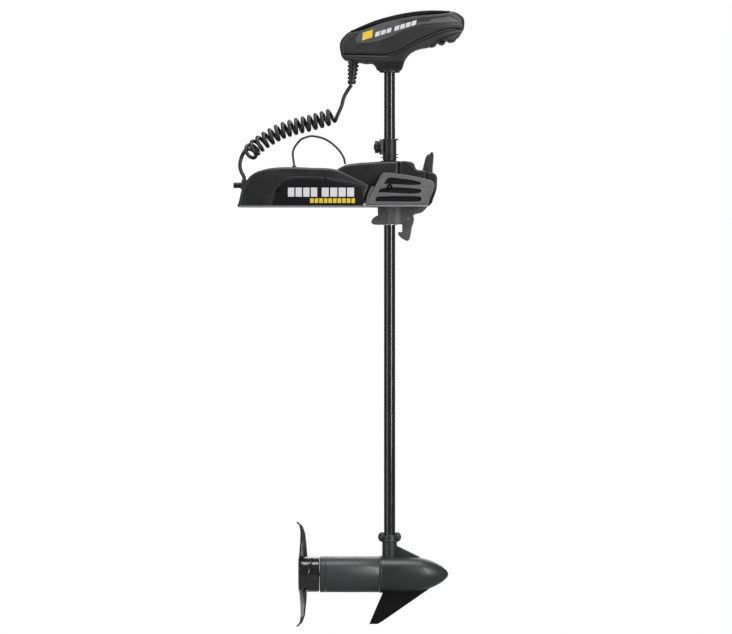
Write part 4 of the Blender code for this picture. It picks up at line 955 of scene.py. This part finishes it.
for point, radius, foot in ((( -221 * MM, 0, 0), 9.2, 30), ((-95 * MM, -36 * MM, 0), 6.4, 60)):
    hole = lathe("hole", [(0, foot), (radius, foot), (radius, 140), (0, 140)], "Z", point, 40)
    joined(cover, hole, "DIFFERENCE")
settle(cover, "base", "cover_black", ["base_cover"], 40)

boot_point = (-220.4 * MM, 0, 0)
gland = lathe("cord_entry", [(CORD_R / MM + 0.4, 44), (9, 44), (9, 56), (7.6, 62),
                             (CORD_R / MM + 1.2, 68), (CORD_R / MM + 0.4, 68.4),
                             (CORD_R / MM + 0.4, 44)], "Z", boot_point, 48)
settle(gland, "base", "rubber", ["cord_gland"], 40)

# %% Side panels, beads, screws and prints
panel_edge = [(-150, 3), (-140, 33), (-130, 50), (-119, 61), (-99, 66.6), (-62, 67), (-29, 66),
              (20, 58), (72, 47), (78, 20), (76, 3)]
on_both_sides("base_panel", panel_edge, BASE_HALF + 0.6, "base", "panel_black", None,
              upright, {2, 3, 4, 5, 6, 7}, 0.5)
bead_route = [(-156, 0, 4), (-150, 0, 24), (-139, 0, 45), (-124, 0, 63), (-103, 0, 71.4),
              (-62, 0, 72.6), (-29, 0, 71.4), (24, 0, 63), (60, 0, 55.6), (86, 0, 50)]
for word, sign in SIDES:
    route = [(x, sign * (BASE_HALF + 0.1), z) for x, _, z in bead_route]
    bead = tube_mesh("cover_bead_" + word, smooth_route(route, 60), 1.5 * MM, 12, "cover_black")
    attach(bead, "base")
for name in ("side_panel_right", "side_panel_left"):
    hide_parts(name)


def side_screw(name, x, z, radius, depth_mm, body, made):
    """A pan-head screw on each side of the base."""
    for word, sign in SIDES:
        screw = lathe(f"{name}_{word}", [(0, depth_mm - 1.6), (radius * 0.28, depth_mm - 1.6),
                                         (radius * 0.34, depth_mm + 0.5),
                                         (radius * 0.62, depth_mm + 0.7),
                                         (radius * 0.82, depth_mm + 0.3), (radius, depth_mm - 0.6),
                                         (radius, depth_mm - 3)], "Z", (0, 0, 0), 48)
        bpy.ops.object.mode_set(mode="EDIT")
        bpy.ops.mesh.select_all(action="DESELECT")
        bpy.ops.mesh.select_mode(type="EDGE")
        bpy.ops.mesh.select_non_manifold()
        bpy.ops.mesh.edge_face_add()
        bpy.ops.mesh.select_all(action="SELECT")
        bpy.ops.mesh.normals_make_consistent(inside=False)
        bpy.ops.object.mode_set(mode="OBJECT")
        turn = Matrix.Rotation(math.radians(-90 * sign), 4, "X")
        screw.data.transform(Matrix.Translation((x * MM, 0, z * MM)) @ turn)
        settle(screw, body, "steel", (), 40, made)


# The side screws take the near-black bolt finish, which is partly painted shade of the recessed screw
# holes.
side_screw("panel_screw_rear", -135, 42, 6.6, BASE_HALF + 0.7, "base", BOLT_BLACK_AND_HOLE_SHADE)
side_screw("panel_screw_top", -17, 69, 4.2, BASE_HALF + 0.7, "base", BOLT_BLACK_AND_HOLE_SHADE)
side_screw("plate_screw", 142.5, 48.5, 7.2, BASE_HALF + 2.2, "base", BOLT_BLACK_AND_HOLE_SHADE)
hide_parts("plate_bolt_right")
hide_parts("plate_bolt_left")
base_bars = bars(-110, 15.6, 3.4, 4, 24, 22.6) + bars(-26, 17.4, 3.6, 4, 24, 22.6)
printed("base_pale_bars", base_bars, BASE_HALF + 1.0, "base", "panel_black", STRIPE_WHITE,
        upright)
printed("base_yellow_bars", bars(-55, 8.9, 2.5, 10, 8.4, 11.6), BASE_HALF + 1.0, "base",
        "panel_black", STRIPE_YELLOW, upright)

# %% [markdown]
# ## Grey side plates
# Each plate is a moulded outline with three long slots, through which the black frame shows.
# The slots are cut with rounded bars, and the plate's rim is rolled so that it takes light.
# %% Side plates and bezels
plate_edge = [(105, 46), (116, 68), (124, 81), (128, 83), (135, 83.8), (164, 81), (198, 76),
              (247, 64), (252, 61), (254, 56), (254, 46), (249, 32), (244, 21), (239.6, 5),
              (88, 5), (91, 20), (97, 33)]
SLOTS = {
    "top": [(128, 56), (137, 69), (140, 71), (164, 70), (195, 66), (216, 61), (221, 58),
            (218, 54.6)],
    "middle": [(115, 35), (118, 42.6), (218, 42.6), (221.4, 40), (219, 34.6)],
    "bottom": [(107, 12.6), (109.6, 22), (113, 24), (218, 24), (221.4, 21), (219, 13.4),
               (214, 12.2)],
}
for word, sign in SIDES:
    inner, outer = side_span(sign, BASE_HALF - 4.7, BASE_HALF + 0.8)
    plate = moulded("grey_plate_" + word, plate_edge, inner, outer, 1.6 * MM,
                    {2, 3, 4, 5, 6, 7, 8, 9, 11, 12, 15}, 5)
    for slot_name, outline in SLOTS.items():
        bar = moulded("bar", outline, inner - 6 * MM, outer + 6 * MM, 0.4 * MM,
                      set(range(1, len(outline))), 1)
        joined(plate, bar, "DIFFERENCE")
    settle(plate, "base", "plate_grey", ["side_plate_" + word], 35)
    bezel_edge = [(82, 5), (88, 5), (91, 20), (97, 34), (105, 47), (103.6, 49.4), (98, 48.6),
                  (91, 36), (85.4, 20)]
    inner, outer = side_span(sign, BASE_HALF - 4, BASE_HALF + 1.6)
    bezel = moulded("plate_bezel_" + word, bezel_edge, inner, outer, 1.2 * MM,
                    {2, 3, 5, 6, 7, 8}, 4)
    settle(bezel, "base", "bracket_grey", (), 35)

# %% [markdown]
# ## Drive housing and bracket
# The housing is smooth and black, with a groove where its front block is joined. Below the
# deck the grey bracket wraps the shaft with a round boss and is braced by webs.
# %% Drive housing
drive_half = slot_high.y / MM
housing_edge = [(11, 92), (22, 99), (35, 104.6), (60, 108.6), (94, 111), (128, 113),
                (166.4, 113.4), (166.4, 60), (166.4, 9), (60, 9), (40, 12), (12, 22), (-1, 42), (2, 66)]
housing = moulded("drive_housing_skin", housing_edge, -drive_half * MM, drive_half * MM, 9 * MM,
                  {1, 2, 3, 4, 5, 10, 11, 12, 13}, 7)
settle(housing, "carriage", "cover_black", ["drive_housing"], 40)
block_edge = [(166.8, 113), (178, 114), (198, 111), (204, 106.6), (206.6, 99), (210, 93.4),
              (224, 91), (235.4, 88), (235.4, 9), (166.8, 9)]
front_block = moulded("drive_front_block", block_edge, -drive_half * MM, drive_half * MM, 6 * MM,
                      {2, 3, 4, 5, 6}, 6)
hollowed(front_block, (217, -9, 70), (262, 9, 150))
settle(front_block, "carriage", "cover_black", (), 40)
rib = moulded("drive_corner_rib", [(178, 113.6), (183, 113), (205, 98), (204, 93), (199, 92.6)],
              -(drive_half + 1.4) * MM, -(drive_half - 3) * MM, 1.2 * MM, (), 3)
settle(rib, "carriage", "cover_black", (), 40)
nose_edge = [(236.4, 86.4), (248, 85.4), (256, 82), (260.6, 75), (261, 60), (260, 44),
             (253, 23), (248, 8.6), (236.4, 8.6)]
front = moulded("drive_nose_cover", nose_edge, -drive_half * MM, drive_half * MM, 4.5 * MM,
                {1, 2, 3, 4, 5}, 6)
hollowed(front, (230, -9, 68), (256.4, 9, 140))
settle(front, "carriage", "cover_black", ["drive_front_cover"], 40)
boss = lathe("shaft_guide_ring", [(17.4, 112), (24.5, 112), (24.5, 114), (23, 115.2),
                                  (17.4, 115.2), (17.4, 112)], "Z", SHAFT_POINT)
settle(boss, "carriage", "panel_black", (), 40)

# %% Lower bracket
bracket_edge = [(112.6, 3), (114, -21), (104, -26.4), (98, -34), (97.6, -39), (101, -42.4),
                (114, -44.6), (172, -42), (182, -41), (206, -18), (224, -13), (232, -6),
                (238.6, 3)]
bracket = moulded("bracket_web", bracket_edge, -23 * MM, 23 * MM, 3 * MM,
                  {2, 3, 4, 5, 10, 11}, 5)
column = lathe("column", [(0, -43.4), (27, -43.4), (29, -41.6), (30, -6), (32, 3), (0, 3)], "Z",
               ((beside(10)) * MM, 0, 0), 80)
joined(bracket, column)
shaft_way = lathe("shaft_way", [(0, -60), (20.6, -60), (20.6, 20), (0, 20)], "Z", SHAFT_POINT)
joined(bracket, shaft_way, "DIFFERENCE")
hollowed(bracket, (166, -9, -60), (212, 9, -12))
for word, sign in SIDES:
    inner, outer = side_span(sign, 20, 27)
    brace = moulded("brace", [(114, -24), (121, -28), (152, -2), (148, 2), (139, 2)], inner,
                    outer, 1.4 * MM, (), 3)
    joined(bracket, brace)
settle(bracket, "carriage", "bracket_grey", ["lower_bracket"], 35)

# %% Release lever and latch hook
lever_edge = [(224, 80), (226, 95), (230, 112), (234, 125), (238, 130.6), (243, 131.6),
              (246, 136.4), (250, 137), (252.4, 134), (251, 100), (248, 80), (238, 76),
              (228, 76)]
lever = moulded("release_fin", lever_edge, -7 * MM, 7 * MM, 2.2 * MM,
                {1, 2, 3, 4, 6, 7, 8, 10, 11}, 5)
settle(lever, "lever", "head_grey", ["release_lever"], 35)
hook_edge = [(174.4, -44), (174.4, -61.6), (170, -63), (165, -62.8), (164.2, -66), (166, -71),
             (183, -83.6), (188, -84.8), (192, -82), (194, -76), (199, -50), (204, -30),
             (200, -20), (184, -20)]
hook = moulded("hook_skin", hook_edge, -7 * MM, 7 * MM, 1.8 * MM,
               {2, 3, 4, 5, 6, 7, 8, 9, 11, 12}, 5)
settle(hook, "hook", "bracket_grey", ["latch_hook"], 35)
print("base and drive made")
